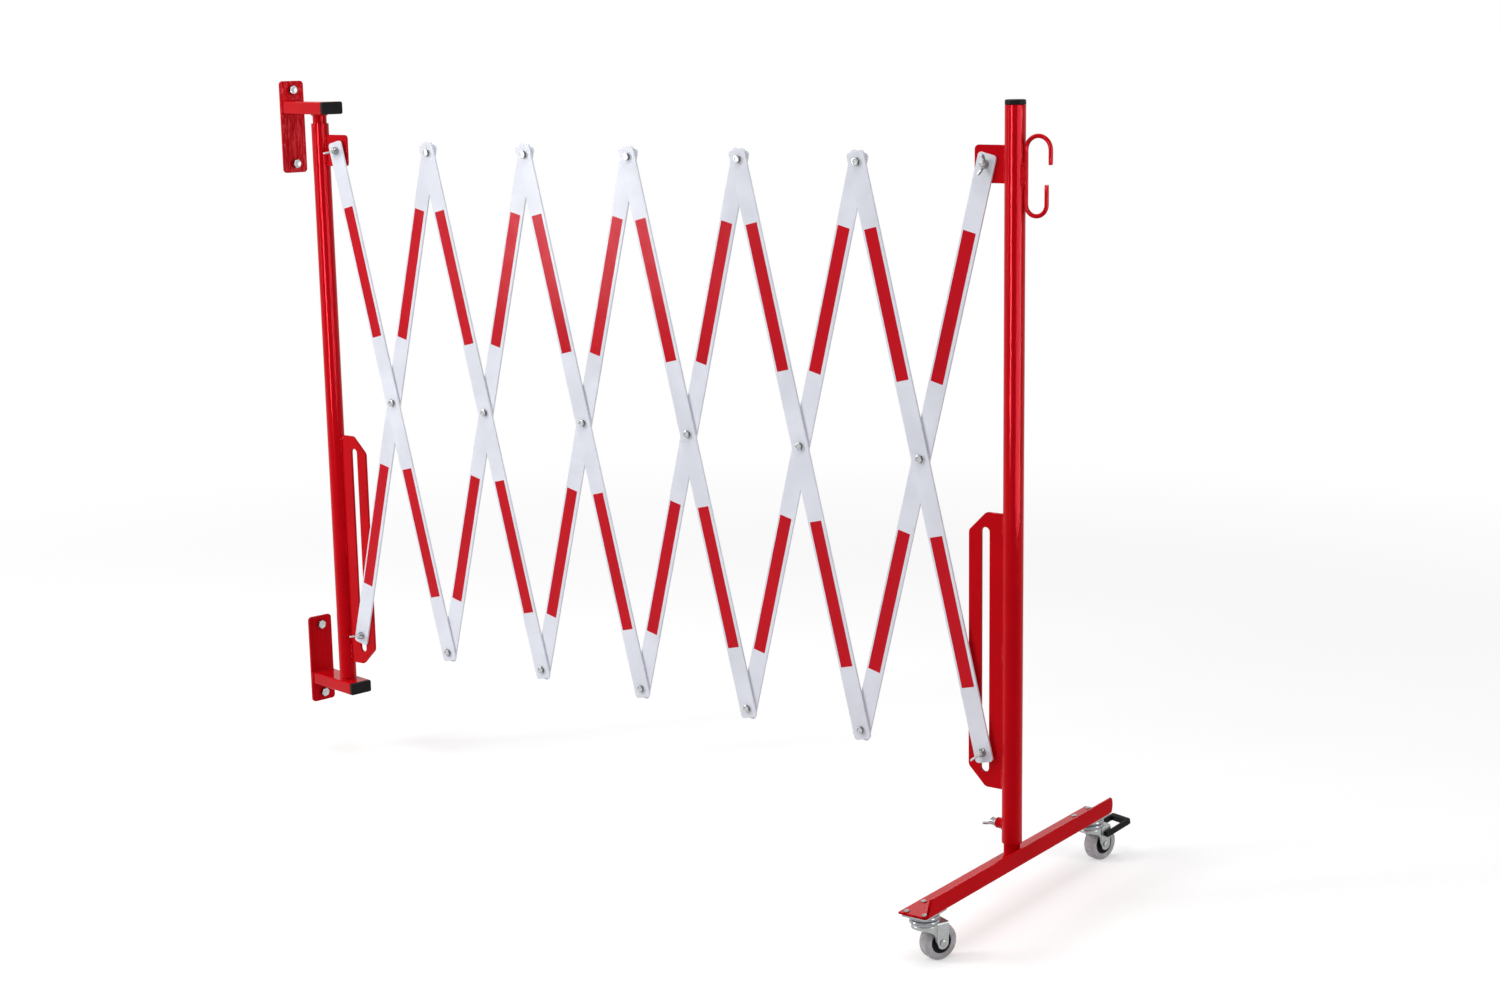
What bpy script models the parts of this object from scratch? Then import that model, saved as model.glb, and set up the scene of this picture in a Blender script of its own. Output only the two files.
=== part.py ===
"""Expandable safety barrier: a scissor lattice between a wall post and a post on castors.

Metres, +Z up. The pieces are drawn round the wall post's axis, over the floor, with the
lattice along +X and its front face towards -Y. The last step carries them all to the
wall's own frame: its origin is on the wall, behind the middle of the lower bracket's
plate, and +X points straight out of the wall.
"""
import math

import bmesh
import bpy
from mathutils import Euler, Matrix, Vector

# Lattice: twelve equal flat bars
crossings = 6
bar_pivot_length = 0.825
bar_width = 0.028
bar_thickness = 0.003
bar_overhang = 0.014
bar_corner_radius = 0.005
rest_angle = math.radians(14.0)
folded_angle = math.radians(4.0)
opened_angle = math.radians(53.4)
low_pivot_above_foot = 0.1468

# Clearances and merge distances that every piece shares
touch_gap = 0.0003
merge_distance = 0.000005
cut_overrun = 0.003
weld_bite = 0.0007

# Posts and the pins that the wall post turns on
tube_radius = 0.014
tube_wall = 0.0025
post_above_pivot = 0.0767
pin_radius = tube_radius - tube_wall - touch_gap
pin_engagement = 0.045
pin_lift_gap = 0.0145
pin_collar_height = 0.0025
pivot_offset = 0.042

# Plates welded to the posts
plate_thickness = 0.004
top_plate_reach = 0.060
top_plate_height = 0.050
top_plate_corner = 0.006
slot_plate_reach = 0.068
slot_plate_chamfer = 0.027
slot_plate_corner = 0.004
slot_end_margin = 0.021

# Wall brackets
bracket_turn = math.radians(-10.0)
wall_plate_width = 0.044
wall_plate_height = 0.148
wall_plate_thickness = 0.005
wall_plate_corner = 0.006
wall_plate_offset = 0.0757
lower_arm_below_pivot = 0.091
upper_arm_above_pivot = 0.0675
arm_width = 0.040
arm_height = 0.020
arm_wall = 0.002
arm_reach = 0.033
arm_to_plate_end = 0.0425
arm_cap_flange = 0.004
arm_cap_insert = 0.012
arm_cap_round = 0.0015
wall_bolt_margin = 0.0145

# Fasteners: M6 in the lattice, M8 in the wall plates
m6_radius = 0.003
m6_across_flats = 0.010
m6_head_height = 0.004
m6_nut_height = 0.005
m8_radius = 0.004
m8_across_flats = 0.013
m8_head_height = 0.0055
slot_neck_radius = 0.006
slide_head_radius = 0.010
slide_head_height = 0.0032
spacer_radius = 0.009
clamp_thread_length = 0.0115

# Wing nuts and the wing screw of the foot
wing_base_radius = 0.0062
wing_top_radius = 0.0046
wing_hub_height = 0.0085
wing_span = 0.028
wing_thickness = 0.0026
wing_rise = 0.0135
screw_from_post_end = 0.024
screw_boss_radius = 0.0075
screw_boss_length = 0.009
screw_hub_length = 0.0098
wing_turns = {"wall_top": math.radians(17), "wall_low": math.radians(6),
              "mobile_top": math.radians(77), "mobile_low": math.radians(43)}
foot_screw_turn = math.radians(90)

# Hook of round rod on the mobile post
rod_radius = 0.003
hook_upper_above_pivot = 0.019
hook_lower_below_pivot = 0.051
hook_upper_radius = 0.018
hook_lower_radius = 0.0152
hook_upper_tail = 0.019
hook_lower_tail = 0.0255

# Foot: an angle section under the mobile post
foot_length = 0.510
foot_width = 0.045
foot_height = 0.025
foot_wall = 0.003
foot_corner = 0.003
foot_rake = 0.012
foot_far_rake = 0.006
stub_length = 0.110
stub_wall = 0.002
post_to_foot_gap = 0.002

# Castors
castor_end_margin = 0.001
castor_trail = 0.021
near_castor_heading = math.radians(66.0)
far_castor_heading = math.radians(74.0)
wheel_radius = 0.025
wheel_width = 0.019
wheel_shoulder = 0.0045
hub_radius = 0.0150
hub_recess = 0.0010
fork_side_gap = 0.0012
fork_wall = 0.002
fork_wheel_gap = 0.0015
crown_overhang = 0.010
crown_corner = 0.003
crown_front_share = 0.80
race_radius = 0.0195
lower_race_height = 0.0065
upper_race_height = 0.0066
race_round = 0.0025
king_pin_radius = 0.004
king_pin_head_radius = 0.0065
king_pin_head_height = 0.0025
castor_plate_length = 0.054
castor_plate_width = 0.038
castor_plate_thickness = 0.0025
castor_plate_corner = 0.003
rivet_radius = 0.0025
rivet_head_radius = 0.0042
rivet_head_height = 0.0018
rivet_edge_long = 0.006
rivet_edge_wide = 0.005
axle_radius = 0.003
axle_head_radius = 0.0048
axle_head_height = 0.0022
leg_end_radius = 0.0085
leg_front_share = 0.74
leg_shoulder_drop = 0.0044
leg_back_drop = 0.006
leg_end_first_angle = math.radians(-144)
leg_end_last_angle = math.radians(8)

# Brake pedal of the far castor
pedal_above_axle = 0.016
pedal_stud_radius = 0.0022
pedal_arm_thickness = 0.0048
pedal_arm_depth = 0.0085
pedal_reach = 0.043
pedal_rise = 0.0095
pedal_pad_width = 0.009

# Black cap on the mobile post
post_cap_height = 0.0065
post_cap_round = 0.002
post_cap_insert = 0.012

# Roundness of the facets
tube_steps = 28
hole_steps = 14
shank_steps = 12
arc_steps = 4
corner_steps = 3
point_weight_share = 1.0
wheel_steps = 32
hub_steps = 24
rivet_steps = 10
smoothing_angle = math.radians(35)

# Heights and places that follow from the sizes above
crown_height = 2 * wheel_radius + fork_wheel_gap
race_height = crown_height + fork_wall
upper_race_low = race_height + lower_race_height + touch_gap
castor_plate_low = upper_race_low + upper_race_height
foot_low = castor_plate_low + castor_plate_thickness + touch_gap
foot_top = foot_low + foot_wall
node_spacing = bar_pivot_length * math.sin(rest_angle)
low_pivot_height = foot_top + low_pivot_above_foot
top_pivot_height = low_pivot_height + bar_pivot_length * math.cos(rest_angle)
middle_height = (top_pivot_height + low_pivot_height) / 2
first_node_x = pivot_offset
last_node_x = first_node_x + crossings * node_spacing
mobile_post_x = last_node_x + pivot_offset
slot_half_width = slot_neck_radius + touch_gap
slot_low_height = (top_pivot_height - bar_pivot_length * math.cos(folded_angle)
                   - slot_half_width)
slot_high_height = (top_pivot_height - bar_pivot_length * math.cos(opened_angle)
                    + slot_half_width)
mobile_post_low = foot_low + foot_height + post_to_foot_gap
mobile_post_top = top_pivot_height + post_above_pivot
hook_upper_height = top_pivot_height + hook_upper_above_pivot
hook_lower_height = top_pivot_height - hook_lower_below_pivot
screw_height = mobile_post_low + screw_from_post_end
castor_spacing = foot_length - castor_plate_length - 2 * castor_end_margin
rivet_spacing_long = castor_plate_length - 2 * rivet_edge_long
rivet_spacing_wide = castor_plate_width - 2 * rivet_edge_wide
crown_rear = castor_trail + crown_overhang
pedal_pivot_height = wheel_radius + pedal_above_axle
lower_arm_height = low_pivot_height - lower_arm_below_pivot
upper_arm_height = top_pivot_height + upper_arm_above_pivot
wall_post_low = lower_arm_height + arm_height / 2 + pin_collar_height + touch_gap
wall_post_top = upper_arm_height - arm_height / 2 - pin_lift_gap

# Layers of the lattice, from the post plates towards the front (-Y)
plate_front = -plate_thickness / 2
back_layer = plate_front - touch_gap - bar_thickness / 2
front_layer = back_layer - bar_thickness - touch_gap
back_face = back_layer + bar_thickness / 2
front_face = front_layer - bar_thickness / 2
fork_leg_place = wheel_width / 2 + fork_side_gap + fork_wall / 2
fork_half_width = fork_leg_place + fork_wall / 2


for old_object in list(bpy.data.objects):
    bpy.data.objects.remove(old_object, do_unlink=True)

parts = bpy.data.collections.new("expandable_safety_barrier")
cutters = bpy.data.collections.new("cutters_and_joined_shapes")
bpy.context.scene.collection.children.link(parts)
bpy.context.scene.collection.children.link(cutters)


def make_material(name, colour, roughness, metallic):
    material = bpy.data.materials.new(name)
    material.use_nodes = True
    shader = material.node_tree.nodes["Principled BSDF"]
    shader.inputs["Base Color"].default_value = (*colour, 1.0)
    shader.inputs["Roughness"].default_value = roughness
    shader.inputs["Metallic"].default_value = metallic
    return material


finishes = {
    "red": ((0.60, 0.012, 0.020), 0.25, 0.0),
    "white": ((0.86, 0.87, 0.90), 0.30, 0.0),
    "zinc": ((0.62, 0.64, 0.66), 0.25, 1.0),
    "black": ((0.012, 0.012, 0.013), 0.45, 0.0),
    "tyre": ((0.40, 0.38, 0.42), 0.55, 0.0),
}


def give_finish(thing, finish):
    colour, roughness, metallic = finishes[finish]
    material = make_material(thing.name + "_finish", colour, roughness, metallic)
    thing.data.materials.clear()
    thing.data.materials.append(material)


def add_object(name, data, place=(0, 0, 0), turn=(0, 0, 0), shape_only=False):
    thing = bpy.data.objects.new(name, data)
    (cutters if shape_only else parts).objects.link(thing)
    thing.location = place
    thing.rotation_euler = turn
    if shape_only:
        thing.hide_render = True
        thing.display_type = "WIRE"
    return thing


def smooth(thing):
    thing.data.shade_smooth()
    thing.data.set_sharp_from_angle(angle=smoothing_angle)


def combine(target, tool, operation):
    """Leave a live Boolean on the target, with the tool kept out of the part."""
    modifier = target.modifiers.new(operation.lower() + "_" + tool.name, "BOOLEAN")
    modifier.operation = operation
    modifier.solver = "EXACT"
    modifier.object = tool


def block_mesh(name, size):
    mesh = bpy.data.meshes.new(name)
    work = bmesh.new()
    bmesh.ops.create_cube(work, size=1.0, matrix=Matrix.Diagonal((*size, 1.0)))
    work.to_mesh(mesh)
    work.free()
    return mesh


def rod_mesh(name, radius, length, steps=shank_steps, top_radius=None, start=0.0):
    """A rod or cone along local +Z, from start to start + length."""
    mesh = bpy.data.meshes.new(name)
    work = bmesh.new()
    centre = Matrix.Translation((0, 0, start + length / 2))
    bmesh.ops.create_cone(work, cap_ends=True, segments=steps, radius1=radius,
                          radius2=radius if top_radius is None else top_radius,
                          depth=length, matrix=centre)
    work.to_mesh(mesh)
    work.free()
    return mesh


def hexagon_mesh(name, across_flats, height, start=0.0):
    corner_radius = across_flats / 2 / math.cos(math.pi / 6)
    return rod_mesh(name, corner_radius, height, steps=6, start=start)


def turned(name, profile, place=(0, 0, 0), turn=(0, 0, 0), steps=tube_steps,
           shape_only=False):
    """Turn a closed profile of (radius, height) points round local Z."""
    mesh = bpy.data.meshes.new(name)
    count = len(profile)
    edges = [(index, (index + 1) % count) for index in range(count)]
    mesh.from_pydata([(radius, 0, height) for radius, height in profile], edges, [])
    thing = add_object(name, mesh, place, turn, shape_only)
    screw = thing.modifiers.new("turning", "SCREW")
    screw.steps = steps
    screw.render_steps = steps
    screw.use_merge_vertices = True
    screw.merge_threshold = merge_distance
    screw.use_smooth_shade = True
    return thing


def tube(name, outer, inner, low, high, place, shape_only=False):
    profile = [(outer, high), (outer, low), (inner, low), (inner, high)]
    return turned(name, profile, place, shape_only=shape_only)


def arc_points(centre, radius, start, end, steps=arc_steps):
    """Points on an arc, from the start angle to the end angle, both ends included."""
    points = []
    for index in range(steps + 1):
        angle = start + (end - start) * index / steps
        points.append((centre[0] + radius * math.cos(angle),
                       centre[1] + radius * math.sin(angle)))
    return points


def circle_points(centre, radius, steps=hole_steps):
    whole = arc_points(centre, radius, 0, 2 * math.pi, steps)
    return whole[:-1]


def round_corners(corners, radius, steps=arc_steps):
    """An outline, listed anticlockwise, with each convex corner rounded."""
    points = []
    count = len(corners)
    for index, corner in enumerate(corners):
        here = Vector(corner)
        before = (Vector(corners[index - 1]) - here).normalized()
        after = (Vector(corners[(index + 1) % count]) - here).normalized()
        half = before.angle(after) / 2
        setback = radius / math.tan(half)
        bisector = (before + after).normalized()
        centre = here + bisector * radius / math.sin(half)
        start = (here + before * setback) - centre
        end = (here + after * setback) - centre
        first = math.atan2(start.y, start.x)
        sweep = (math.atan2(end.y, end.x) - first) % (2 * math.pi)
        points += arc_points(centre, radius, first, first + sweep, steps)
    return points


def rectangle(left, low, right, high):
    return [(left, low), (right, low), (right, high), (left, high)]


def sheet_curve(name, outlines, thickness):
    """A flat piece from closed outlines: the first is its edge, the others are holes."""
    curve = bpy.data.curves.new(name, "CURVE")
    curve.dimensions = "2D"
    curve.fill_mode = "BOTH"
    curve.extrude = thickness / 2
    for outline in outlines:
        spline = curve.splines.new("POLY")
        spline.points.add(len(outline) - 1)
        for point, (across, along) in zip(spline.points, outline):
            point.co = (across, along, 0, point_weight_share)
        spline.use_cyclic_u = True
    return curve


def as_mesh(thing, shape_only=False):
    """Replace a curve object by a closed mesh object of the same name."""
    bpy.context.view_layer.update()
    evaluated = thing.evaluated_get(bpy.context.evaluated_depsgraph_get())
    mesh = bpy.data.meshes.new_from_object(evaluated)
    work = bmesh.new()
    work.from_mesh(mesh)
    bmesh.ops.remove_doubles(work, verts=work.verts, dist=merge_distance)
    bmesh.ops.recalc_face_normals(work, faces=work.faces)
    work.to_mesh(mesh)
    work.free()
    name = thing.name
    matrix = thing.matrix_world.copy()
    bpy.data.objects.remove(thing, do_unlink=True)
    solid = add_object(name, mesh, shape_only=shape_only)
    solid.name = name
    solid.matrix_world = matrix
    return solid


def sheet(name, outlines, thickness, place, turn=(0, 0, 0), shape_only=False):
    curve = sheet_curve(name, outlines, thickness)
    return as_mesh(add_object(name, curve, place, turn, shape_only), shape_only)


# A flat piece drawn as (X, Z) stands up in the plane of the lattice
upright = (math.pi / 2, 0, 0)
# A rod along local +Z points to the front (-Y) with this turn
to_front = (math.pi / 2, 0, 0)


def bar_outline(low, high):
    corners = rectangle(-bar_width / 2, low - bar_overhang,
                        bar_width / 2, high + bar_overhang)
    return round_corners(corners, bar_corner_radius)


def bar_data(name, low, high):
    """One bar with its three pivot holes, drawn from its own joint axis."""
    holes = [circle_points((0, height), m6_radius + touch_gap)
             for height in (low, (low + high) / 2, high)]
    return sheet_curve(name, [bar_outline(low, high)] + holes, bar_thickness)


def make_bars():
    """Bars of the chain from post to post turn on an end, the others on their middle."""
    half = bar_pivot_length / 2
    hanging = bar_data("hanging_bar_shape", -bar_pivot_length, 0)
    standing = bar_data("standing_bar_shape", 0, bar_pivot_length)
    crossing = bar_data("crossing_bar_shape", -half, half)
    for index in range(crossings):
        node_x = first_node_x + index * node_spacing
        centre_x = node_x + node_spacing / 2
        if index % 2 == 0:
            front_data, front_x, front_height = hanging, node_x, top_pivot_height
            back_data, back_x, back_height = crossing, centre_x, middle_height
        else:
            front_data, front_x, front_height = crossing, centre_x, middle_height
            back_data, back_x, back_height = standing, node_x, low_pivot_height
        front = add_object(f"front_bar_{index + 1}", front_data,
                           (front_x, front_layer, front_height),
                           (math.pi / 2, -rest_angle, 0))
        back = add_object(f"back_bar_{index + 1}", back_data,
                          (back_x, back_layer, back_height),
                          (math.pi / 2, rest_angle, 0))
        for bar in (front, back):
            solid = as_mesh(bar)
            give_finish(solid, "white")


def fused(name, shapes, place, turn, finish):
    """Join meshes drawn in one local frame into a single piece."""
    base = add_object(name, shapes[0], place, turn)
    for index, shape in enumerate(shapes[1:]):
        tool = add_object(f"{name}_shape_{index}", shape, place, turn, shape_only=True)
        combine(base, tool, "UNION")
    give_finish(base, finish)
    return base


def lattice_bolt_shapes():
    """Head in front of the two bars, nut behind them, along local +Z to the front."""
    stack = 2 * bar_thickness + touch_gap
    head_start = stack + touch_gap
    nut_start = -touch_gap - m6_nut_height
    shank_length = head_start + m6_head_height / 2 - (nut_start - m6_head_height / 4)
    return [
        rod_mesh("lattice_shank", m6_radius, shank_length,
                 start=nut_start - m6_head_height / 4),
        hexagon_mesh("lattice_head", m6_across_flats, m6_head_height, head_start),
        hexagon_mesh("lattice_nut", m6_across_flats, m6_nut_height, nut_start),
    ]


def make_lattice_bolts():
    shapes = lattice_bolt_shapes()
    rows = (("pivot_bolt_top", 1, crossings, 0, top_pivot_height),
            ("pivot_bolt_middle", 0, crossings, node_spacing / 2, middle_height),
            ("pivot_bolt_low", 1, crossings, 0, low_pivot_height))
    for row, first, end, shift, height in rows:
        for index in range(first, end):
            place = (first_node_x + index * node_spacing + shift, back_face, height)
            fused(f"{row}_{index - first + 1}", shapes, place, to_front, "zinc")


def clamp_bolt(name, place, bar_face, in_slot):
    """A bolt put in from behind a post plate: round head, neck in the slot, thread."""
    neck = slot_neck_radius if in_slot else m6_radius
    head = rod_mesh(name + "_head", slide_head_radius, slide_head_height,
                    start=-slide_head_height - touch_gap, steps=hole_steps)
    middle = rod_mesh(name + "_neck", neck, plate_thickness + slide_head_height / 2,
                      start=-slide_head_height / 2, steps=hole_steps)
    reach = plate_thickness / 2 - bar_face + clamp_thread_length
    thread = rod_mesh(name + "_thread", m6_radius, reach + slide_head_height / 2,
                      start=-slide_head_height / 2)
    spot = (place[0], plate_thickness / 2, place[1])
    return fused(name, [head, middle, thread], spot, to_front, "zinc")


wing_outline_shares = ((0.0, 0.10), (0.42, 0.18), (0.80, 0.52), (0.98, 0.84), (0.95, 1.0),
                       (0.78, 0.98), (0.52, 0.66), (0.30, 0.56), (0.0, 0.50))


def wing_outline(length):
    """Both wings in one outline, from shares of the half span and of the rise."""
    right = [(across * wing_span / 2, along * (length - wing_hub_height + wing_rise))
             for across, along in wing_outline_shares]
    left = [(-across, along) for across, along in reversed(right[1:-1])]
    return right + left


def make_wing_piece(name, place, turn, hub_length, bore, shank=None):
    """A wing nut, or with a shank a wing screw, with its foot at the place given."""
    hub = rod_mesh(name + "_hub", wing_base_radius, hub_length, steps=hole_steps,
                   top_radius=wing_top_radius)
    base = add_object(name, hub, place, turn)
    wings = sheet(name + "_wings", [wing_outline(hub_length)], wing_thickness, (0, 0, 0),
                  shape_only=True)
    wings.matrix_world = (Matrix.LocRotScale(place, Euler(turn), None)
                          @ Matrix.Rotation(math.pi / 2, 4, "X"))
    combine(base, wings, "UNION")
    if bore:
        hole = add_object(name + "_bore", rod_mesh(
            name + "_bore", bore, wing_hub_height + wing_rise + 2 * cut_overrun,
            start=-cut_overrun), place, turn, shape_only=True)
        combine(base, hole, "DIFFERENCE")
    if shank:
        stem = add_object(name + "_shank", rod_mesh(
            name + "_shank", m8_radius, shank + hub_length / 2, start=-shank),
            place, turn, shape_only=True)
        combine(base, stem, "UNION")
    give_finish(base, "zinc")
    return base


def make_clamps():
    """The four clamped ends: bolt, wing nut and, under the front bars, a spacer."""
    ends = (("wall_top", first_node_x, top_pivot_height, front_face, False),
            ("wall_low", first_node_x, low_pivot_height,
             back_layer - bar_thickness / 2, True),
            ("mobile_top", last_node_x, top_pivot_height,
             back_layer - bar_thickness / 2, False),
            ("mobile_low", last_node_x, low_pivot_height, front_face, True))
    for label, x, height, face, in_slot in ends:
        clamp_bolt("clamp_bolt_" + label, (x, height), face, in_slot)
        wing_turn = Euler(to_front).to_matrix() @ Matrix.Rotation(wing_turns[label], 3, "Z")
        make_wing_piece("wing_nut_" + label, (x, face - touch_gap, height),
                        wing_turn.to_euler(), wing_hub_height, m6_radius + touch_gap)
        if face == front_face:
            half = (bar_thickness - touch_gap) / 2
            ring = tube("spacer_" + label, spacer_radius, m6_radius + touch_gap,
                        -half, half, (x, back_layer, height))
            ring.rotation_euler = to_front
            give_finish(ring, "zinc")


def plate_hole(x, height):
    return circle_points((x, height), m6_radius + touch_gap)


def top_plate(side):
    """Small plate that holds the top pivot; side is +1 beyond +X of its post."""
    inner = tube_radius - weld_bite
    low = top_pivot_height - top_plate_height / 2
    high = top_pivot_height + top_plate_height / 2
    outline = ([(inner, low)]
               + arc_points((top_plate_reach - top_plate_corner, low + top_plate_corner),
                            top_plate_corner, -math.pi / 2, 0)
               + arc_points((top_plate_reach - top_plate_corner, high - top_plate_corner),
                            top_plate_corner, 0, math.pi / 2)
               + [(inner, high)])
    return [mirror_outline(outline, side),
            mirror_outline(plate_hole(pivot_offset, top_pivot_height), side)]


def mirror_outline(outline, side):
    if side > 0:
        return outline
    return [(-across, along) for across, along in reversed(outline)]


def slot_plate(side):
    """Tall plate with the slot in which the lowest bolt rides."""
    inner = tube_radius - weld_bite
    low = slot_low_height - slot_end_margin
    high = slot_high_height + slot_end_margin
    outer = slot_plate_reach
    corners = [(inner, low), (outer - slot_plate_chamfer, low),
               (outer, low + slot_plate_chamfer), (outer, high - slot_plate_chamfer),
               (outer - slot_plate_chamfer, high), (inner, high)]
    rounded = round_corners(corners, slot_plate_corner, corner_steps)
    in_corner = corner_steps + 1
    outline = [corners[0]] + rounded[in_corner:-in_corner] + [corners[-1]]
    slot = (arc_points((pivot_offset, slot_low_height + slot_half_width),
                       slot_half_width, math.pi, 2 * math.pi, 2 * arc_steps)
            + arc_points((pivot_offset, slot_high_height - slot_half_width),
                         slot_half_width, 0, math.pi, 2 * arc_steps))
    return [mirror_outline(outline, side), mirror_outline(slot, side)]


def make_wall_post():
    post = tube("wall_post", tube_radius, tube_radius - tube_wall,
                wall_post_low, wall_post_top, (0, 0, 0))
    for label, outlines in (("top", top_plate(1)), ("slot", slot_plate(1))):
        plate = sheet(f"wall_post_{label}_plate", outlines, plate_thickness, (0, 0, 0),
                      upright, shape_only=True)
        combine(post, plate, "UNION")
    give_finish(post, "red")


def hook_path():
    """The rod's centre line in (X, Z), from the upper tip down to the lower tip."""
    stem = tube_radius + rod_radius - weld_bite
    upper_centre = (stem + hook_upper_radius, hook_upper_height)
    lower_centre = (stem + hook_lower_radius, hook_lower_height)
    upper = arc_points(upper_centre, hook_upper_radius, 0, math.pi, 2 * arc_steps)
    lower = arc_points(lower_centre, hook_lower_radius, math.pi, 2 * math.pi,
                       2 * arc_steps)
    upper_tip = (upper[0][0], upper[0][1] - hook_upper_tail)
    lower_tip = (lower[-1][0], lower[-1][1] + hook_lower_tail)
    return [upper_tip] + upper + lower + [lower_tip]


def make_hook():
    curve = bpy.data.curves.new("hook", "CURVE")
    curve.dimensions = "3D"
    curve.bevel_depth = rod_radius
    curve.bevel_resolution = 2
    curve.use_fill_caps = True
    path = hook_path()
    spline = curve.splines.new("POLY")
    spline.points.add(len(path) - 1)
    for point, (x, height) in zip(spline.points, path):
        point.co = (mobile_post_x + x, 0, height, point_weight_share)
    return as_mesh(add_object("hook", curve, shape_only=True), shape_only=True)


def make_mobile_post():
    post = tube("mobile_post", tube_radius, tube_radius - tube_wall,
                mobile_post_low, mobile_post_top, (mobile_post_x, 0, 0))
    for label, outlines in (("top", top_plate(-1)), ("slot", slot_plate(-1))):
        plate = sheet(f"mobile_post_{label}_plate", outlines, plate_thickness,
                      (mobile_post_x, 0, 0), upright, shape_only=True)
        combine(post, plate, "UNION")
    combine(post, make_hook(), "UNION")
    to_left = (0, -math.pi / 2, 0)
    seat = (mobile_post_x, 0, screw_height)
    boss = add_object("screw_boss", rod_mesh(
        "screw_boss", screw_boss_radius, screw_boss_length + tube_wall / 2,
        steps=tube_steps, start=tube_radius - tube_wall / 2), seat, to_left, True)
    combine(post, boss, "UNION")
    bore = add_object("screw_bore", rod_mesh(
        "screw_bore", m8_radius + touch_gap, tube_radius + screw_boss_length,
        start=tube_radius / 2), seat, to_left, True)
    combine(post, bore, "DIFFERENCE")
    give_finish(post, "red")


def make_post_cap():
    flange = tube_radius
    profile = [(0, post_cap_height), (flange - post_cap_round, post_cap_height)]
    profile += [(flange - post_cap_round + across, post_cap_height - post_cap_round + up)
                for across, up in reversed(arc_points((0, 0), post_cap_round, 0,
                                                      math.pi / 2, corner_steps)[:-1])]
    insert = tube_radius - tube_wall - touch_gap
    profile += [(flange, 0), (insert, 0), (insert, -post_cap_insert),
                (0, -post_cap_insert)]
    cap = turned("post_cap", profile,
                 (mobile_post_x, 0, mobile_post_top + touch_gap))
    give_finish(cap, "black")


def make_foot_screw():
    place = (mobile_post_x - tube_radius - screw_boss_length - touch_gap, 0, screw_height)
    turn = (Euler((0, -math.pi / 2, 0)).to_matrix()
            @ Matrix.Rotation(foot_screw_turn, 3, "Z")).to_euler()
    shank = (tube_radius + screw_boss_length + touch_gap) - (pin_radius + touch_gap)
    make_wing_piece("foot_screw", place, turn, screw_hub_length, 0, shank)


def turned_place(x, y, height):
    """A place given from the wall post's axis, turned with the wall brackets."""
    return Matrix.Rotation(bracket_turn, 4, "Z") @ Vector((x, y, height))


def wall_plate_curve(name):
    corners = rectangle(-wall_plate_width / 2, 0, wall_plate_width / 2, wall_plate_height)
    bolt_heights = (wall_bolt_margin, wall_plate_height - wall_bolt_margin)
    holes = [circle_points((0, height), m8_radius + touch_gap) for height in bolt_heights]
    return sheet_curve(name, [round_corners(corners, wall_plate_corner)] + holes,
                       wall_plate_thickness)


def make_bracket(label, arm_middle, pin_side):
    """Plate, hollow arm and pin in one weldment. pin_side is -1 where the pin hangs."""
    plate_low = arm_middle - (arm_to_plate_end if pin_side > 0
                              else wall_plate_height - arm_to_plate_end)
    plate_middle = -wall_plate_offset - wall_plate_thickness / 2
    facing = (math.pi / 2, 0, math.pi / 2 + bracket_turn)
    plate = add_object(f"wall_bracket_{label}", wall_plate_curve(f"plate_{label}"),
                       turned_place(plate_middle, 0, plate_low), facing)
    bracket = as_mesh(plate)
    arm_length = arm_reach + wall_plate_offset + weld_bite
    arm_centre = turned_place(arm_reach - arm_length / 2, 0, arm_middle)
    turn = (0, 0, bracket_turn)
    arm = add_object(f"arm_{label}", block_mesh(f"arm_{label}", (
        arm_length, arm_width, arm_height)), arm_centre, turn, True)
    combine(bracket, arm, "UNION")
    pin_length = arm_wall / 2 + pin_collar_height + pin_engagement
    if pin_side < 0:
        pin_length += pin_lift_gap - pin_collar_height
    pin_start = arm_middle + pin_side * (arm_height / 2 - arm_wall / 2)
    pin = add_object(f"pin_{label}", rod_mesh(
        f"pin_{label}", pin_radius, pin_length, steps=tube_steps),
        (0, 0, pin_start), (0 if pin_side > 0 else math.pi, 0, 0), True)
    collar = add_object(f"collar_{label}", rod_mesh(
        f"collar_{label}", tube_radius, pin_collar_height + arm_wall / 2,
        steps=tube_steps, top_radius=(pin_radius + tube_radius) / 2),
        (0, 0, pin_start), (0 if pin_side > 0 else math.pi, 0, 0), True)
    combine(bracket, pin, "UNION")
    combine(bracket, collar, "UNION")
    hollow = add_object(f"arm_hollow_{label}", block_mesh(f"arm_hollow_{label}", (
        arm_length, arm_width - 2 * arm_wall, arm_height - 2 * arm_wall)),
        turned_place(arm_reach - arm_length / 2 + wall_plate_thickness / 2, 0,
                     arm_middle), turn, True)
    combine(bracket, hollow, "DIFFERENCE")
    give_finish(bracket, "red")
    make_arm_cap(label, arm_middle)
    make_wall_bolts(label, plate_low)


def make_arm_cap(label, arm_middle):
    turn = (0, 0, bracket_turn)
    front = arm_reach + touch_gap + arm_cap_flange / 2
    cap = add_object(f"arm_cap_{label}", block_mesh(f"arm_cap_{label}", (
        arm_cap_flange, arm_width, arm_height)),
        turned_place(front, 0, arm_middle), turn)
    bevel = cap.modifiers.new("soft edges", "BEVEL")
    bevel.width = arm_cap_round
    bevel.segments = 2
    inner = 2 * (arm_wall + touch_gap)
    insert_length = arm_cap_insert + arm_cap_flange / 2
    insert = add_object(f"arm_cap_insert_{label}", block_mesh(
        f"arm_cap_insert_{label}", (insert_length, arm_width - inner,
                                    arm_height - inner)),
        turned_place(front - insert_length / 2, 0, arm_middle), turn, True)
    combine(cap, insert, "UNION")
    give_finish(cap, "black")


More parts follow.
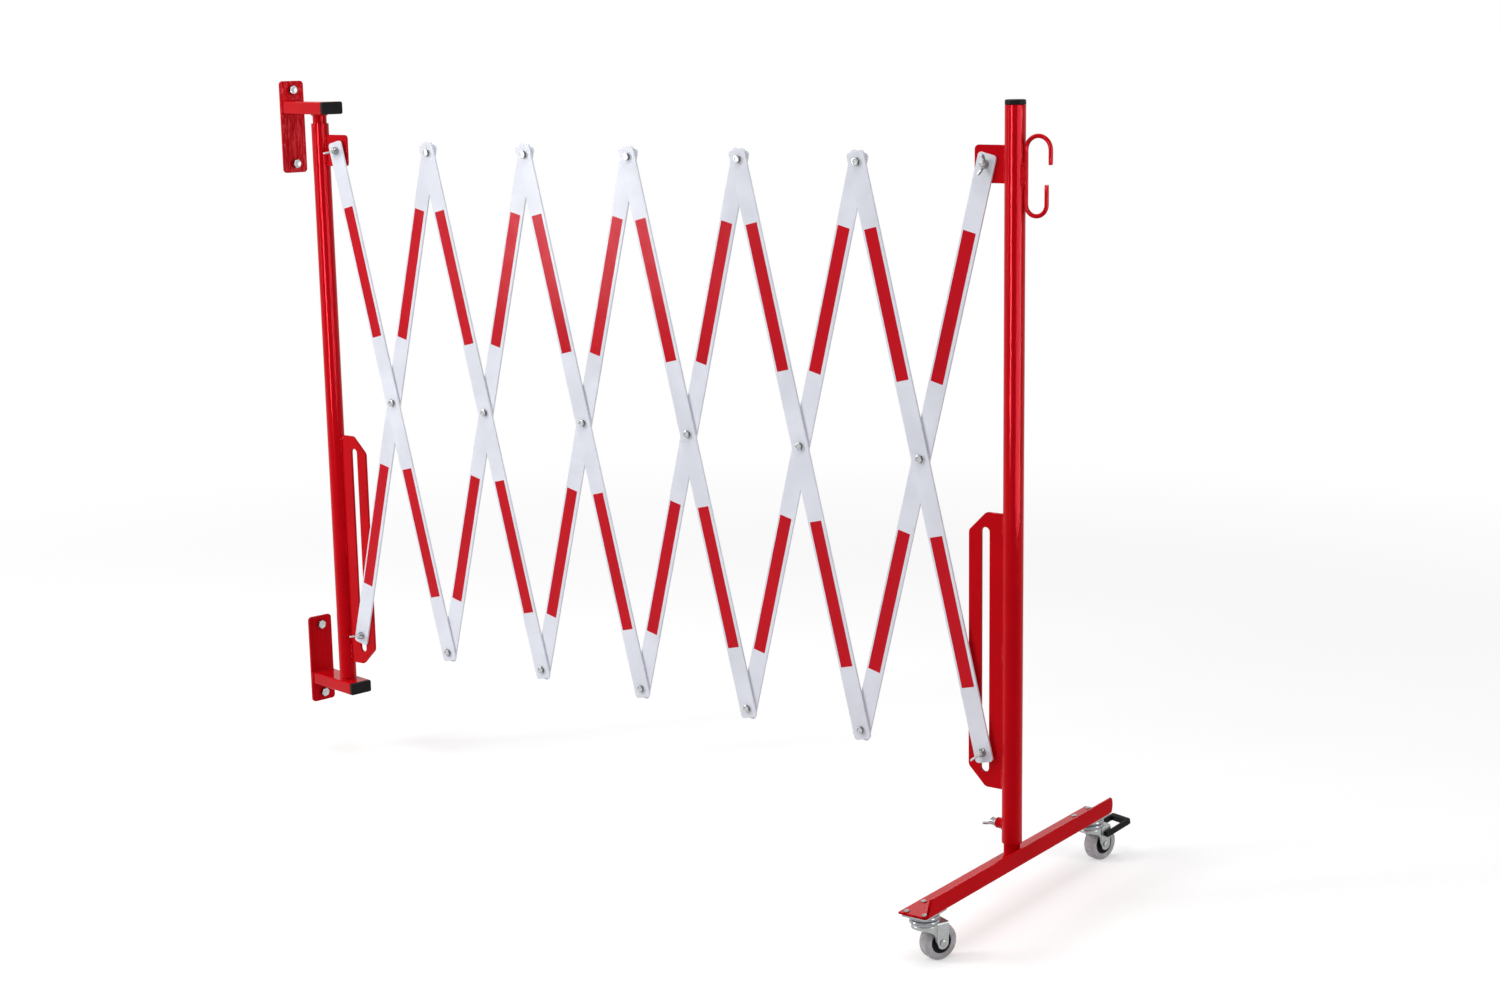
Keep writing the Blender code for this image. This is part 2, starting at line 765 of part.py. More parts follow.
def make_wall_bolts(label, plate_low):
    outward = (0, math.pi / 2, bracket_turn)
    heights = {"low": plate_low + wall_bolt_margin,
               "high": plate_low + wall_plate_height - wall_bolt_margin}
    for end, height in heights.items():
        shapes = [
            rod_mesh("wall_bolt_shank", m8_radius,
                     wall_plate_thickness + m8_head_height / 2,
                     start=-wall_plate_thickness),
            hexagon_mesh("wall_bolt_head", m8_across_flats, m8_head_height, touch_gap),
        ]
        fused(f"wall_bolt_{label}_{end}", shapes,
              turned_place(-wall_plate_offset, 0, height), outward, "zinc")


def rivet_places():
    """Rivet centres seen from a castor's swivel axis."""
    return [(across * rivet_spacing_wide / 2, along * rivet_spacing_long / 2)
            for across in (-1, 1) for along in (-1, 1)]


castors = {"near": (-castor_spacing / 2, near_castor_heading),
           "far": (castor_spacing / 2, far_castor_heading)}


foot_rake_shares = ((0.0, 0.0), (0.30, 0.45), (1.0, 1.0))


def cut_foot_end(foot, end, side, rake):
    """Slope one end of the upright flange; side is -1 at the near end."""
    edge = foot_length / 2 - foot_corner
    outline = [(edge + foot_corner + cut_overrun, -cut_overrun), (edge, -cut_overrun)]
    outline += [(edge - back * rake, up * foot_height) for back, up in foot_rake_shares]
    outline += [(edge - rake, foot_height + cut_overrun),
                (edge + foot_corner + cut_overrun, foot_height + cut_overrun)]
    tool = sheet(f"foot_end_cut_{end}", [mirror_outline(outline, side)],
                 foot_wall + 2 * cut_overrun,
                 (mobile_post_x + foot_width / 2 - foot_wall / 2, 0, foot_low),
                 (math.pi / 2, 0, math.pi / 2), shape_only=True)
    combine(foot, tool, "DIFFERENCE")


def rivet_holes_mesh():
    """The eight rods that leave the foot's rivet holes."""
    mesh = bpy.data.meshes.new("rivet_holes")
    work = bmesh.new()
    depth = foot_wall + 2 * cut_overrun
    for castor_y, _ in castors.values():
        for across, along in rivet_places():
            middle = Matrix.Translation((across, castor_y + along, foot_wall / 2))
            bmesh.ops.create_cone(work, cap_ends=True, segments=rivet_steps,
                                  radius1=rivet_radius + touch_gap,
                                  radius2=rivet_radius + touch_gap, depth=depth,
                                  matrix=middle)
    work.to_mesh(mesh)
    work.free()
    return mesh


def make_foot():
    """Angle section with its upright flange on the +X side, and the stub it carries."""
    outer = foot_width / 2
    section = [(-outer, 0), (outer, 0), (outer, foot_height),
               (outer - foot_wall, foot_height), (outer - foot_wall, foot_wall),
               (-outer, foot_wall)]
    foot = sheet("foot", [section], foot_length, (mobile_post_x, 0, foot_low), upright)
    cut_foot_end(foot, "near", -1, foot_rake)
    cut_foot_end(foot, "far", 1, foot_far_rake)
    holes = add_object("rivet_holes", rivet_holes_mesh(), (mobile_post_x, 0, foot_low),
                       shape_only=True)
    combine(foot, holes, "DIFFERENCE")
    stub = tube("foot_stub", pin_radius, pin_radius - stub_wall,
                foot_top - foot_wall / 2, foot_top + stub_length,
                (mobile_post_x, 0, 0), shape_only=True)
    combine(foot, stub, "UNION")
    give_finish(foot, "red")


def make_castor_plate(label, castor_y):
    """Top plate with its four rivets, the upper race and the king pin."""
    half_width = castor_plate_width / 2
    half_length = castor_plate_length / 2
    place = (mobile_post_x, castor_y, 0)
    corners = rectangle(-half_width, -half_length, half_width, half_length)
    plate = sheet(f"castor_plate_{label}",
                  [round_corners(corners, castor_plate_corner)], castor_plate_thickness,
                  (mobile_post_x, castor_y, castor_plate_low + castor_plate_thickness / 2))
    top = castor_plate_low + castor_plate_thickness / 2
    race = turned(f"upper_race_{label}",
                  [(0, top), (race_radius, top), (race_radius, upper_race_low + race_round),
                   (race_radius - race_round / 2, upper_race_low), (0, upper_race_low)],
                  place, shape_only=True)
    combine(plate, race, "UNION")
    pin_low = crown_height - touch_gap - king_pin_head_height
    pin = turned(f"king_pin_{label}",
                 [(0, top), (king_pin_radius, top),
                  (king_pin_radius, crown_height - touch_gap),
                  (king_pin_head_radius, crown_height - touch_gap),
                  (king_pin_head_radius, pin_low), (0, pin_low)],
                 place, steps=hole_steps, shape_only=True)
    combine(plate, pin, "UNION")
    for index, (across, along) in enumerate(rivet_places()):
        head_low = foot_top + touch_gap
        rivet = turned(f"rivet_{label}_{index + 1}",
                       [(0, head_low + rivet_head_height),
                        (rivet_head_radius / 2, head_low + rivet_head_height),
                        (rivet_head_radius, head_low), (rivet_radius, head_low),
                        (rivet_radius, top), (0, top)],
                       (mobile_post_x + across, castor_y + along, 0), steps=rivet_steps,
                       shape_only=True)
        combine(plate, rivet, "UNION")
    give_finish(plate, "zinc")


def fork_leg_outline():
    """Side view of a leg: wide at the crown, round about the axle."""
    axle = (castor_trail, wheel_radius)
    tip = arc_points(axle, leg_end_radius, leg_end_first_angle, leg_end_last_angle,
                     2 * arc_steps)
    top = crown_height + fork_wall / 2
    front = -race_radius * leg_front_share
    rear = crown_rear - touch_gap
    return ([(front, top), (front, top - leg_shoulder_drop)] + tip
            + [(rear, crown_height - leg_back_drop), (rear, top)])


def make_fork(label, castor_y, heading):
    """Crown, lower race, two legs and the riveted axle, drawn along local +X."""
    place = (mobile_post_x, castor_y, 0)
    turn = (0, 0, heading)
    frame = Matrix.LocRotScale(place, Euler(turn), None)
    crown_side = fork_half_width - touch_gap
    crown_outline = round_corners(
        rectangle(-race_radius * crown_front_share, -crown_side, crown_rear, crown_side),
        crown_corner, corner_steps)
    crown = sheet(f"castor_fork_{label}", [crown_outline], fork_wall, (0, 0, 0))
    crown.matrix_world = frame @ Matrix.Translation((0, 0, crown_height + fork_wall / 2))
    top = upper_race_low - touch_gap
    race = turned(f"lower_race_{label}",
                  [(0, top), (race_radius - race_round / 2, top),
                   (race_radius, top - race_round), (race_radius - race_round, race_height),
                   (race_radius - race_round, race_height - fork_wall / 2),
                   (0, race_height - fork_wall / 2)], place, turn, shape_only=True)
    combine(crown, race, "UNION")
    for side in (-1, 1):
        leg = sheet(f"fork_leg_{label}_{side}", [fork_leg_outline()], fork_wall,
                    (0, 0, 0), shape_only=True)
        leg.matrix_world = (frame @ Matrix.Translation((0, side * fork_leg_place, 0))
                            @ Matrix.Rotation(math.pi / 2, 4, "X"))
        combine(crown, leg, "UNION")
    combine(crown, make_axle(label, frame), "UNION")
    hole = add_object(f"king_pin_hole_{label}", rod_mesh(
        f"king_pin_hole_{label}", king_pin_radius + touch_gap,
        lower_race_height + fork_wall + 2 * cut_overrun,
        start=crown_height - cut_overrun), place, turn, True)
    combine(crown, hole, "DIFFERENCE")
    if label == "far":
        for side in (-1, 1):
            socket = add_object(f"pedal_hole_{side}", rod_mesh(
                f"pedal_hole_{side}", pedal_stud_radius + touch_gap,
                fork_wall + 2 * cut_overrun, steps=rivet_steps,
                start=-fork_wall / 2 - cut_overrun), shape_only=True)
            socket.matrix_world = frame @ Matrix.Translation(
                (castor_trail, side * fork_leg_place, pedal_pivot_height)
            ) @ Matrix.Rotation(math.pi / 2, 4, "X")
            combine(crown, socket, "DIFFERENCE")
    give_finish(crown, "zinc")


def make_axle(label, frame):
    half = fork_half_width
    profile = [(0, half + axle_head_height), (axle_head_radius, half + axle_head_height),
               (axle_head_radius, half - weld_bite), (axle_radius, half - weld_bite),
               (axle_radius, -half + weld_bite), (axle_head_radius, -half + weld_bite),
               (axle_head_radius, -half - axle_head_height),
               (0, -half - axle_head_height)]
    axle = turned(f"axle_{label}", profile, steps=hole_steps, shape_only=True)
    axle.matrix_world = (frame @ Matrix.Translation((castor_trail, 0, wheel_radius))
                         @ Matrix.Rotation(math.pi / 2, 4, "X"))
    return axle


def make_wheel(label, castor_y, heading):
    frame = (Matrix.LocRotScale((mobile_post_x, castor_y, 0), Euler((0, 0, heading)), None)
             @ Matrix.Translation((castor_trail, 0, wheel_radius))
             @ Matrix.Rotation(math.pi / 2, 4, "X"))
    half = wheel_width / 2
    seat = hub_radius + touch_gap
    shoulder = arc_points((wheel_radius - wheel_shoulder, half - wheel_shoulder),
                          wheel_shoulder, 0, math.pi / 2, arc_steps)
    profile = ([(seat, half)] + [point for point in reversed(shoulder)]
               + [(across, -along) for across, along in shoulder] + [(seat, -half)])
    tyre = turned(f"tyre_{label}", profile, steps=wheel_steps)
    tyre.matrix_world = frame
    give_finish(tyre, "tyre")
    bore = axle_radius + touch_gap
    rim = half - hub_recess
    boss = half + fork_side_gap - touch_gap
    boss_radius = axle_radius + fork_wall
    half_profile = [(bore, boss), (boss_radius, boss), (boss_radius, rim),
                    (hub_radius, rim)]
    hub = turned(f"hub_{label}", half_profile
                 + [(across, -along) for across, along in reversed(half_profile)],
                 steps=hub_steps)
    hub.matrix_world = frame
    give_finish(hub, "black")


def make_brake_pedal():
    """A loop round the back of the fork: two arms with pivot studs, and a cross pad."""
    castor_y, heading = castors["far"]
    frame = (Matrix.LocRotScale((mobile_post_x, castor_y, 0), Euler((0, 0, heading)), None)
             @ Matrix.Translation((castor_trail, 0, pedal_pivot_height)))
    inner = fork_half_width + touch_gap
    outer = inner + pedal_arm_thickness
    slope = math.atan2(pedal_rise, pedal_reach)
    tilted = frame @ Matrix.Rotation(-slope, 4, "Y")
    reach = math.hypot(pedal_reach, pedal_rise)
    arm_outline = (arc_points((0, 0), pedal_arm_depth / 2, math.pi / 2, 3 * math.pi / 2,
                              arc_steps)
                   + [(reach, -pedal_arm_depth / 2), (reach, pedal_arm_depth / 2)])
    upright_side = Matrix.Rotation(math.pi / 2, 4, "X")
    pedal = None
    for side in (1, -1):
        arm = sheet(f"pedal_arm_{side}" if pedal else "brake_pedal", [arm_outline],
                    pedal_arm_thickness, (0, 0, 0), shape_only=bool(pedal))
        arm.matrix_world = (tilted @ Matrix.Translation(
            (0, side * (inner + outer) / 2, 0)) @ upright_side)
        if pedal:
            combine(pedal, arm, "UNION")
        else:
            pedal = arm
    stud_start = fork_leg_place - fork_wall / 2
    stud_length = (inner + outer) / 2 - stud_start
    for side in (1, -1):
        stud = add_object(f"pedal_stud_{side}", rod_mesh(
            f"pedal_stud_{side}", pedal_stud_radius, stud_length,
            steps=rivet_steps, start=-stud_length / 2), shape_only=True)
        stud_middle = side * (stud_start + stud_length / 2)
        stud.matrix_world = (tilted @ Matrix.Translation((0, stud_middle, 0))
                             @ upright_side)
        combine(pedal, stud, "UNION")
    pad_side = outer + touch_gap
    pad_outline = round_corners(rectangle(reach - pedal_pad_width / 2, -pad_side,
                                          reach + pedal_pad_width / 2, pad_side),
                                pedal_pad_width / 3, corner_steps)
    pad = sheet("pedal_pad", [pad_outline], pedal_arm_depth + touch_gap, (0, 0, 0),
                shape_only=True)
    pad.matrix_world = tilted
    combine(pedal, pad, "UNION")
    give_finish(pedal, "black")


make_bracket("lower", lower_arm_height, 1)
make_bracket("upper", upper_arm_height, -1)
make_wall_post()
make_bars()
make_lattice_bolts()
make_clamps()
make_mobile_post()
make_post_cap()
make_foot_screw()
make_foot()
for castor_label, (castor_place, castor_heading) in castors.items():
    make_castor_plate(castor_label, castor_place)
    make_fork(castor_label, castor_place, castor_heading)
    make_wheel(castor_label, castor_place, castor_heading)
make_brake_pedal()


def carry(carrier, names):
    """Parent pieces, where they stand, to the piece that they move with."""
    bpy.context.view_layer.update()
    for name in names:
        piece = bpy.data.objects[name]
        piece.parent = carrier
        piece.matrix_parent_inverse = carrier.matrix_world.inverted()


def link_pieces():
    """The chain of carriers, from the wall to the wheels."""
    objects = bpy.data.objects
    labels = ("lower", "upper")
    carry(objects["wall_bracket_lower"],
          ["wall_bracket_upper", "wall_post"] + [f"arm_cap_{label}" for label in labels]
          + [f"wall_bolt_{label}_{end}" for label in labels for end in ("low", "high")])
    carry(objects["wall_post"], ["clamp_bolt_wall_top", "spacer_wall_top",
                                 "wing_nut_wall_top", "front_bar_1"])
    for index in range(1, crossings + 1):
        front = objects[f"front_bar_{index}"]
        back = objects[f"back_bar_{index}"]
        carry(front, [f"pivot_bolt_middle_{index}"])
        if index < crossings:
            carry(front, [f"pivot_bolt_low_{index}"])
            carry(objects[f"front_bar_{index + 1}"], [f"pivot_bolt_top_{index}"])
        if index % 2 == 1:
            carry(front, [f"back_bar_{index}", f"back_bar_{index + 1}"])
        else:
            carry(back, [f"front_bar_{index}"])
            if index < crossings:
                carry(back, [f"front_bar_{index + 1}"])
    carry(objects["back_bar_1"], ["clamp_bolt_wall_low", "wing_nut_wall_low"])
    carry(objects[f"front_bar_{crossings}"], ["clamp_bolt_mobile_low",
                                              "spacer_mobile_low", "wing_nut_mobile_low"])
    pivot = add_object("mobile_post_pivot", None,
                       (last_node_x, front_layer, top_pivot_height))
    carry(objects[f"back_bar_{crossings}"], ["mobile_post_pivot"])
    carry(pivot, ["mobile_post", "post_cap", "clamp_bolt_mobile_top",
                  "wing_nut_mobile_top", "foot_screw", "foot"])
    for label in castors:
        carry(objects["foot"], [f"castor_plate_{label}", f"castor_fork_{label}"])
        carry(objects[f"castor_fork_{label}"], [f"tyre_{label}", f"hub_{label}"])
    carry(objects["castor_fork_far"], ["brake_pedal"])


def place_on_wall():
    """Carry every piece and cutter from the post's frame to the wall's frame."""
    bpy.context.view_layer.update()
    loose = [thing for thing in bpy.data.objects if thing.parent is None]
    wall_frame = add_object("wall_frame", None)
    for thing in loose:
        thing.parent = wall_frame
    mount_height = lower_arm_height - arm_to_plate_end + wall_plate_height / 2
    wall_frame.location = (wall_plate_offset + wall_plate_thickness, 0, -mount_height)
    wall_frame.rotation_euler = (0, 0, -bracket_turn)


link_pieces()
place_on_wall()

for piece in parts.objects:
    if piece.type == "MESH":
        smooth(piece)
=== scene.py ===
import math

import bmesh
import bpy
from mathutils import Euler, Matrix, Vector, noise


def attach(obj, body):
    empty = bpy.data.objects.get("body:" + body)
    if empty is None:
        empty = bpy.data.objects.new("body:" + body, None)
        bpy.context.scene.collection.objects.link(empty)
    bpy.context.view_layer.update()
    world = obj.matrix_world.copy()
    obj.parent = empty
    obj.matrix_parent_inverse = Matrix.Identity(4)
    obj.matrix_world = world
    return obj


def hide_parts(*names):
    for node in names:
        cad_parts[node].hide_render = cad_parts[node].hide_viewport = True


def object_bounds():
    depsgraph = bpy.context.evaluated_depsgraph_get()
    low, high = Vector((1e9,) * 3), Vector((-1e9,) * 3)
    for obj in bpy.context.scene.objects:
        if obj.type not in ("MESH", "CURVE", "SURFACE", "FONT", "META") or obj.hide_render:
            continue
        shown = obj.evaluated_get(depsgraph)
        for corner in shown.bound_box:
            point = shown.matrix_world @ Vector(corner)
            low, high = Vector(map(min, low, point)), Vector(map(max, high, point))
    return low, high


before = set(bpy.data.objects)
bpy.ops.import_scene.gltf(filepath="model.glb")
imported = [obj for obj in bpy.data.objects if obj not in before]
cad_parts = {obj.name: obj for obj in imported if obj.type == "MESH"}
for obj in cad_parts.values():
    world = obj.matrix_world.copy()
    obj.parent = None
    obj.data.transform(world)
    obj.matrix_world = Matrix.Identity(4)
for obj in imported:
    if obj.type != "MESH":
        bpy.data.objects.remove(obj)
cadBox = [list(corner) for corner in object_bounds()]
print("frame loaded")


def moved(x=0.0, y=0.0, z=0.0):
    return Matrix.Translation((x, y, z))


def spun(degrees, axis):
    return Matrix.Rotation(math.radians(degrees), 4, axis)


def linked(name, data):
    holder = bpy.data.objects.new(name, data)
    bpy.context.scene.collection.objects.link(holder)
    return holder


# Pieces are drawn round the wall post's axis, over the floor, with the lattice along +X
# and its front towards -Y. postFrame carries them to the wall's own frame.
barrier = {
    "postReach": 0.0807,
    "floor": -0.160,
    "heading": 10,
    "crossings": 6,
    "pivotLength": 0.825,
    "restAngle": math.radians(14),
    "lowPivot": 0.2195,
    "pivotOffset": 0.042,
    "pivotHole": 0.0033,
    "backLayer": -0.0038,
    "frontLayer": -0.0071,
    "tubeRadius": 0.014,
    "tubeBore": 0.0115,
    "tubeSoft": 0.0005,
    "tubeSteps": 96,
}
nodeStep = barrier["pivotLength"] * math.sin(barrier["restAngle"])
topPivot = barrier["lowPivot"] + barrier["pivotLength"] * math.cos(barrier["restAngle"])
middlePivot = (topPivot + barrier["lowPivot"]) / 2
mobileX = 2 * barrier["pivotOffset"] + barrier["crossings"] * nodeStep
gap = 0.0003  # between pieces that touch
wallFrame = Matrix()
postFrame = moved(barrier["postReach"], 0, barrier["floor"]) @ spun(barrier["heading"], "Z")
toFront = spun(90, "X")


# Camera, at the photograph's place
def makeCamera():
    view = {"place": (3.3245, -2.1643, 1.0297), "heading": 46.212, "down": 11.156,
            "roll": -0.978, "lens": 56.5, "sensor": 36, "far": 60}
    camera = linked("camera", bpy.data.cameras.new("camera"))
    camera.data.lens = view["lens"]
    camera.data.sensor_width = view["sensor"]
    camera.data.clip_end = view["far"]
    camera.matrix_world = (moved(*view["place"]) @ spun(view["heading"], "Z")
                           @ spun(90 - view["down"], "X") @ spun(view["roll"], "Z"))
    bpy.context.scene.camera = camera


makeCamera()
print("camera set")


# Nodes: each input gets a value, or the output that feeds it
def feed(tree, node, inputs):
    for name, value in inputs.items():
        if isinstance(value, bpy.types.NodeSocket):
            tree.links.new(value, node.inputs[name])
        else:
            node.inputs[name].default_value = value


def addNode(tree, kind, inputs=None, **settings):
    node = tree.nodes.new("ShaderNode" + kind)
    for name, value in settings.items():
        setattr(node, name, value)
    feed(tree, node, inputs or {})
    return node


class Finish:
    def __init__(self, name, colour, roughness, metallic=0.0, specular=0.5, tint=(1, 1, 1)):
        self.material = bpy.data.materials.new(name)
        self.material.use_nodes = True
        self.tree = self.material.node_tree
        self.shader = self.tree.nodes["Principled BSDF"]
        feed(self.tree, self.shader,
             {"Base Color": (*colour, 1), "Roughness": roughness, "Metallic": metallic,
              "Specular IOR Level": specular, "Specular Tint": (*tint, 1)})
        self.place = self.node("TexCoord").outputs["Object"]
        own = self.node("ObjectInfo").outputs["Random"]
        self.spot = self.node("VectorMath", {0: self.place, 1: own}).outputs[0]

    def node(self, kind, inputs=None, **settings):
        return addNode(self.tree, kind, inputs, **settings)

    def grain(self, scale, detail, stretch=None):
        spot = self.spot
        if stretch:
            spot = self.node("Mapping", {"Vector": spot, "Scale": stretch}).outputs[0]
        return self.node("TexNoise", {"Vector": spot, "Scale": scale,
                                      "Detail": detail}).outputs["Fac"]

    def span(self, value, low, high, start, end):
        return self.node("MapRange", dict(enumerate((value, low, high, start, end)))).outputs[0]

    # grain with its contrast raised: low to high becomes start to end
    def cloud(self, scale, detail, low, high, start=0, end=1, stretch=None):
        return self.span(self.grain(scale, detail, stretch), low, high, start, end)

    def times(self, first, second):
        return self.node("Math", {0: first, 1: second}, operation="MULTIPLY").outputs[0]

    def blend(self, amount, first, second):
        first, second = ((*value, 1) if isinstance(value, tuple) else value
                         for value in (first, second))
        return self.node("Mix", {0: amount, 6: first, 7: second}, data_type="RGBA").outputs[2]

    # how far the mesh marks a face for the darker edge colour: rubbed paint and painted shade
    def edges(self):
        return self.node("Attribute", attribute_name="edge").outputs["Fac"]

    # plugs in colour, roughness and the bumps, each a height, strength and distance
    def complete(self, colour, roughness, bumps):
        normal = {}
        for height, strength, distance in bumps:
            bump = self.node("Bump", {"Height": height, "Strength": strength,
                                      "Distance": distance, **normal})
            normal = {"Normal": bump.outputs[0]}
        feed(self.tree, self.shader, {"Base Color": colour, "Roughness": roughness, **normal})
        return self.material


def shade(colour, amount):
    return tuple(min(1.0, channel * amount) for channel in colour)


def powderCoat(name, colour, wornAndShade, specular, tint=(1, 1, 1), peel=(260, 0.05, 0.0005),
               stretch=None):
    finish = Finish(name, colour, 0.10, specular=specular, tint=tint)
    body = finish.blend(finish.cloud(14, 4, 0.35, 0.65), shade(colour, 0.94), shade(colour, 1.04))
    body = finish.blend(finish.cloud(900, 1, 0.74, 0.80, 0, 0.3), body, shade(colour, 0.70))
    # painted shade: marked faces blend to the darker edge colour, which stands for rubbed paint
    # and for shade
    edgeMark = finish.times(finish.edges(), finish.cloud(120, 3, 0.42, 0.62, 0.1, 0.8))
    return finish.complete(finish.blend(edgeMark, body, wornAndShade),
                           finish.cloud(55, 3, 0.3, 0.7, 0.07, 0.13),
                           [(finish.grain(peel[0], 2, stretch), *peel[1:]),
                            (finish.grain(1300, 1), 0.03, 0.0002)])


def reflectiveFilm():
    colour = (0.570, 0.003, 0.011)
    finish = Finish("redReflectiveFilm", colour, 0.22, specular=0.22, tint=(1, 0.35, 0.42))
    bead = finish.node("TexVoronoi", {"Vector": finish.spot, "Scale": 1900})
    glint = finish.span(bead.outputs["Distance"], 0.1, 0.7, 1, 0)
    body = finish.blend(finish.cloud(9, 3, 0.3, 0.7), shade(colour, 0.93), shade(colour, 1.05))
    # painted highlight: a lighter red at each bead's middle
    body = finish.blend(finish.span(glint, 0.6, 1, 0, 0.22), body, (0.66, 0.012, 0.022))
    return finish.complete(body, finish.cloud(40, 3, 0.3, 0.7, 0.12, 0.20),
                           [(glint, 0.03, 0.0001), (finish.grain(90, 2), 0.05, 0.0004)])


def zincPlate(name, colour, roughness, waviness):
    finish = Finish(name, colour, roughness, metallic=1.0)
    warm = (colour[0] * 1.06, colour[1] * 1.05, colour[2])
    body = finish.blend(finish.cloud(210, 4, 0.35, 0.65), shade(colour, 0.90), warm)
    body = finish.blend(finish.cloud(70, 5, 0.58, 0.70, 0, 0.35), body, shade(colour, 0.72))
    # painted shade: marked faces go far darker, for the dark reflections that plating shows
    paintedShade = finish.times(finish.edges(), finish.cloud(160, 3, 0.3, 0.6, 0.6, 1))
    return finish.complete(finish.blend(paintedShade, body, shade(colour, 0.22)),
                           finish.cloud(480, 3, 0.3, 0.7, roughness * 0.8, roughness * 1.3),
                           [(finish.grain(150, 2), waviness, 0.0004),
                            (finish.grain(1500, 2, (1, 1, 0.25)), 0.05, 0.0001)])


def mouldedPlastic(name, colour, roughness):
    finish = Finish(name, colour, roughness, specular=0.10)
    body = finish.blend(finish.cloud(60, 4, 0.35, 0.7), shade(colour, 0.8), shade(colour, 1.5))
    edgeMark = finish.times(finish.edges(), finish.grain(200, 2))
    return finish.complete(finish.blend(edgeMark, body, shade(colour, 6)),
                           finish.cloud(90, 3, 0.3, 0.7, roughness * 0.8, roughness * 1.25),
                           [(finish.grain(1600, 2), 0.12, 0.0002)])


def treadRubber():
    colour = (0.50, 0.49, 0.525)
    finish = Finish("greyTread", colour, 0.55, specular=0.15)
    body = finish.blend(finish.cloud(90, 5, 0.4, 0.66), colour, (0.38, 0.36, 0.36))
    scuff = finish.cloud(260, 4, 0.62, 0.72, 0, 0.5, (1, 1, 0.3))
    return finish.complete(finish.blend(scuff, body, (0.29, 0.28, 0.29)),
                           finish.cloud(130, 3, 0.3, 0.7, 0.45, 0.68),
                           [(finish.grain(1100, 3), 0.15, 0.0003)])


# the red edge colour is dark enough to paint shade on marked faces, as well as rubbed paint
redPaint, redWornAndShade, redGloss = (0.550, 0.0025, 0.007), (0.22, 0.002, 0.004), (1, 0.07, 0.10)
# each a material and its slot
finishes = {
    "red": (powderCoat("redPowderCoat", redPaint, redWornAndShade, 0.14, redGloss), "red_powder_coat"),
    "wavyRed": (powderCoat("wavyRedPowderCoat", redPaint, redWornAndShade, 0.10, redGloss,
                           (140, 0.8, 0.0012), (1, 0.16, 1)), "red_powder_coat"),
    "footRed": (powderCoat("footRedPowderCoat", redPaint, redWornAndShade, 0.01, redGloss),
                "red_powder_coat"),
    # the grey edge colour paints shade on the bars' bevelled edges, as well as rubbed paint
    "white": (powderCoat("whitePowderCoat", (0.80, 0.82, 0.90), (0.62, 0.64, 0.70), 0.15),
              "white_powder_coat"),
    "film": (reflectiveFilm(), "red_powder_coat"),
    "zinc": (zincPlate("brightZinc", (0.46, 0.47, 0.49), 0.20, 0.12), "zinc_plated_steel"),
    "race": (zincPlate("polishedZinc", (0.42, 0.44, 0.47), 0.12, 0.10), "zinc_plated_steel"),
    "fork": (zincPlate("pressedZinc", (0.37, 0.39, 0.40), 0.32, 0.14), "zinc_plated_steel"),
    "black": (mouldedPlastic("blackPlastic", (0.006, 0.006, 0.007), 0.34), "black_plastic"),
    "hub": (mouldedPlastic("hubPlastic", (0.005, 0.005, 0.005), 0.50), "black_plastic"),
    "tyre": (treadRubber(), "grey_tread"),
}
print("finishes mixed:", len(finishes))


# Outlines in a plane, as lists of (across, up)
def arc(centre, radius, start, end, steps):
    turns = [math.radians(start + (end - start) * index / steps) for index in range(steps + 1)]
    return [(centre[0] + radius * math.cos(turn), centre[1] + radius * math.sin(turn))
            for turn in turns]


def circle(centre, radius, steps=32):
    return arc(centre, radius, 0, 360, steps)[:-1]


def rectangle(left, low, right, high):
    return [(left, low), (right, low), (right, high), (left, high)]


# one radius for all corners, or a list with one for each
def roundCorners(points, radius, steps=6):
    rounded = []
    count = len(points)
    for index, point in enumerate(points):
        size = radius[index] if isinstance(radius, (list, tuple)) else radius
        corner = Vector(point)
        back = (Vector(points[index - 1]) - corner).normalized()
        ahead = (Vector(points[(index + 1) % count]) - corner).normalized()
        half = back.angle(ahead) / 2
        if size <= 0 or half > math.radians(88):
            rounded.append(tuple(point))
            continue
        centre = corner + (back + ahead).normalized() * size / math.sin(half)
        first = corner + back * size / math.tan(half) - centre
        last = corner + ahead * size / math.tan(half) - centre
        turn = first.angle_signed(last)
        for step in range(steps + 1):
            spoke = first.copy()
            spoke.rotate(Matrix.Rotation(-turn * step / steps, 2))
            rounded.append(tuple(centre + spoke))
    return rounded


# a rounded rectangle about the middle
def panel(width, height, corner, steps=6):
    half, rise = width / 2, height / 2
    return roundCorners(rectangle(-half, -rise, half, rise), corner, steps)


def mirrored(outline):
    return [(-across, up) for across, up in reversed(outline)]


# a profile of (radius, height), and again upside down below it
def bothWays(profile):
    return profile + [(radius, -height) for radius, height in reversed(profile)]


# height at a place along points that run in order
def curveBetween(points, at):
    for (x1, y1), (x2, y2) in zip(points, points[1:]):
        if min(x1, x2) <= at <= max(x1, x2):
            return y1 + (y2 - y1) * (at - x1) / (x2 - x1)
    return points[0][1] if abs(at - points[0][0]) < abs(at - points[-1][0]) else points[-1][1]


# the mesh that a helper object gives with its modifiers; the helper goes
def meshOf(holder):
    bpy.context.view_layer.update()
    mesh = bpy.data.meshes.new_from_object(
        holder.evaluated_get(bpy.context.evaluated_depsgraph_get()))
    bpy.data.objects.remove(holder, do_unlink=True)
    return mesh


def toMesh(work):
    mesh = bpy.data.meshes.new("shape")
    work.to_mesh(mesh)
    work.free()
    return mesh


def finished(work):
    bmesh.ops.recalc_face_normals(work, faces=work.faces)
    return toMesh(work)


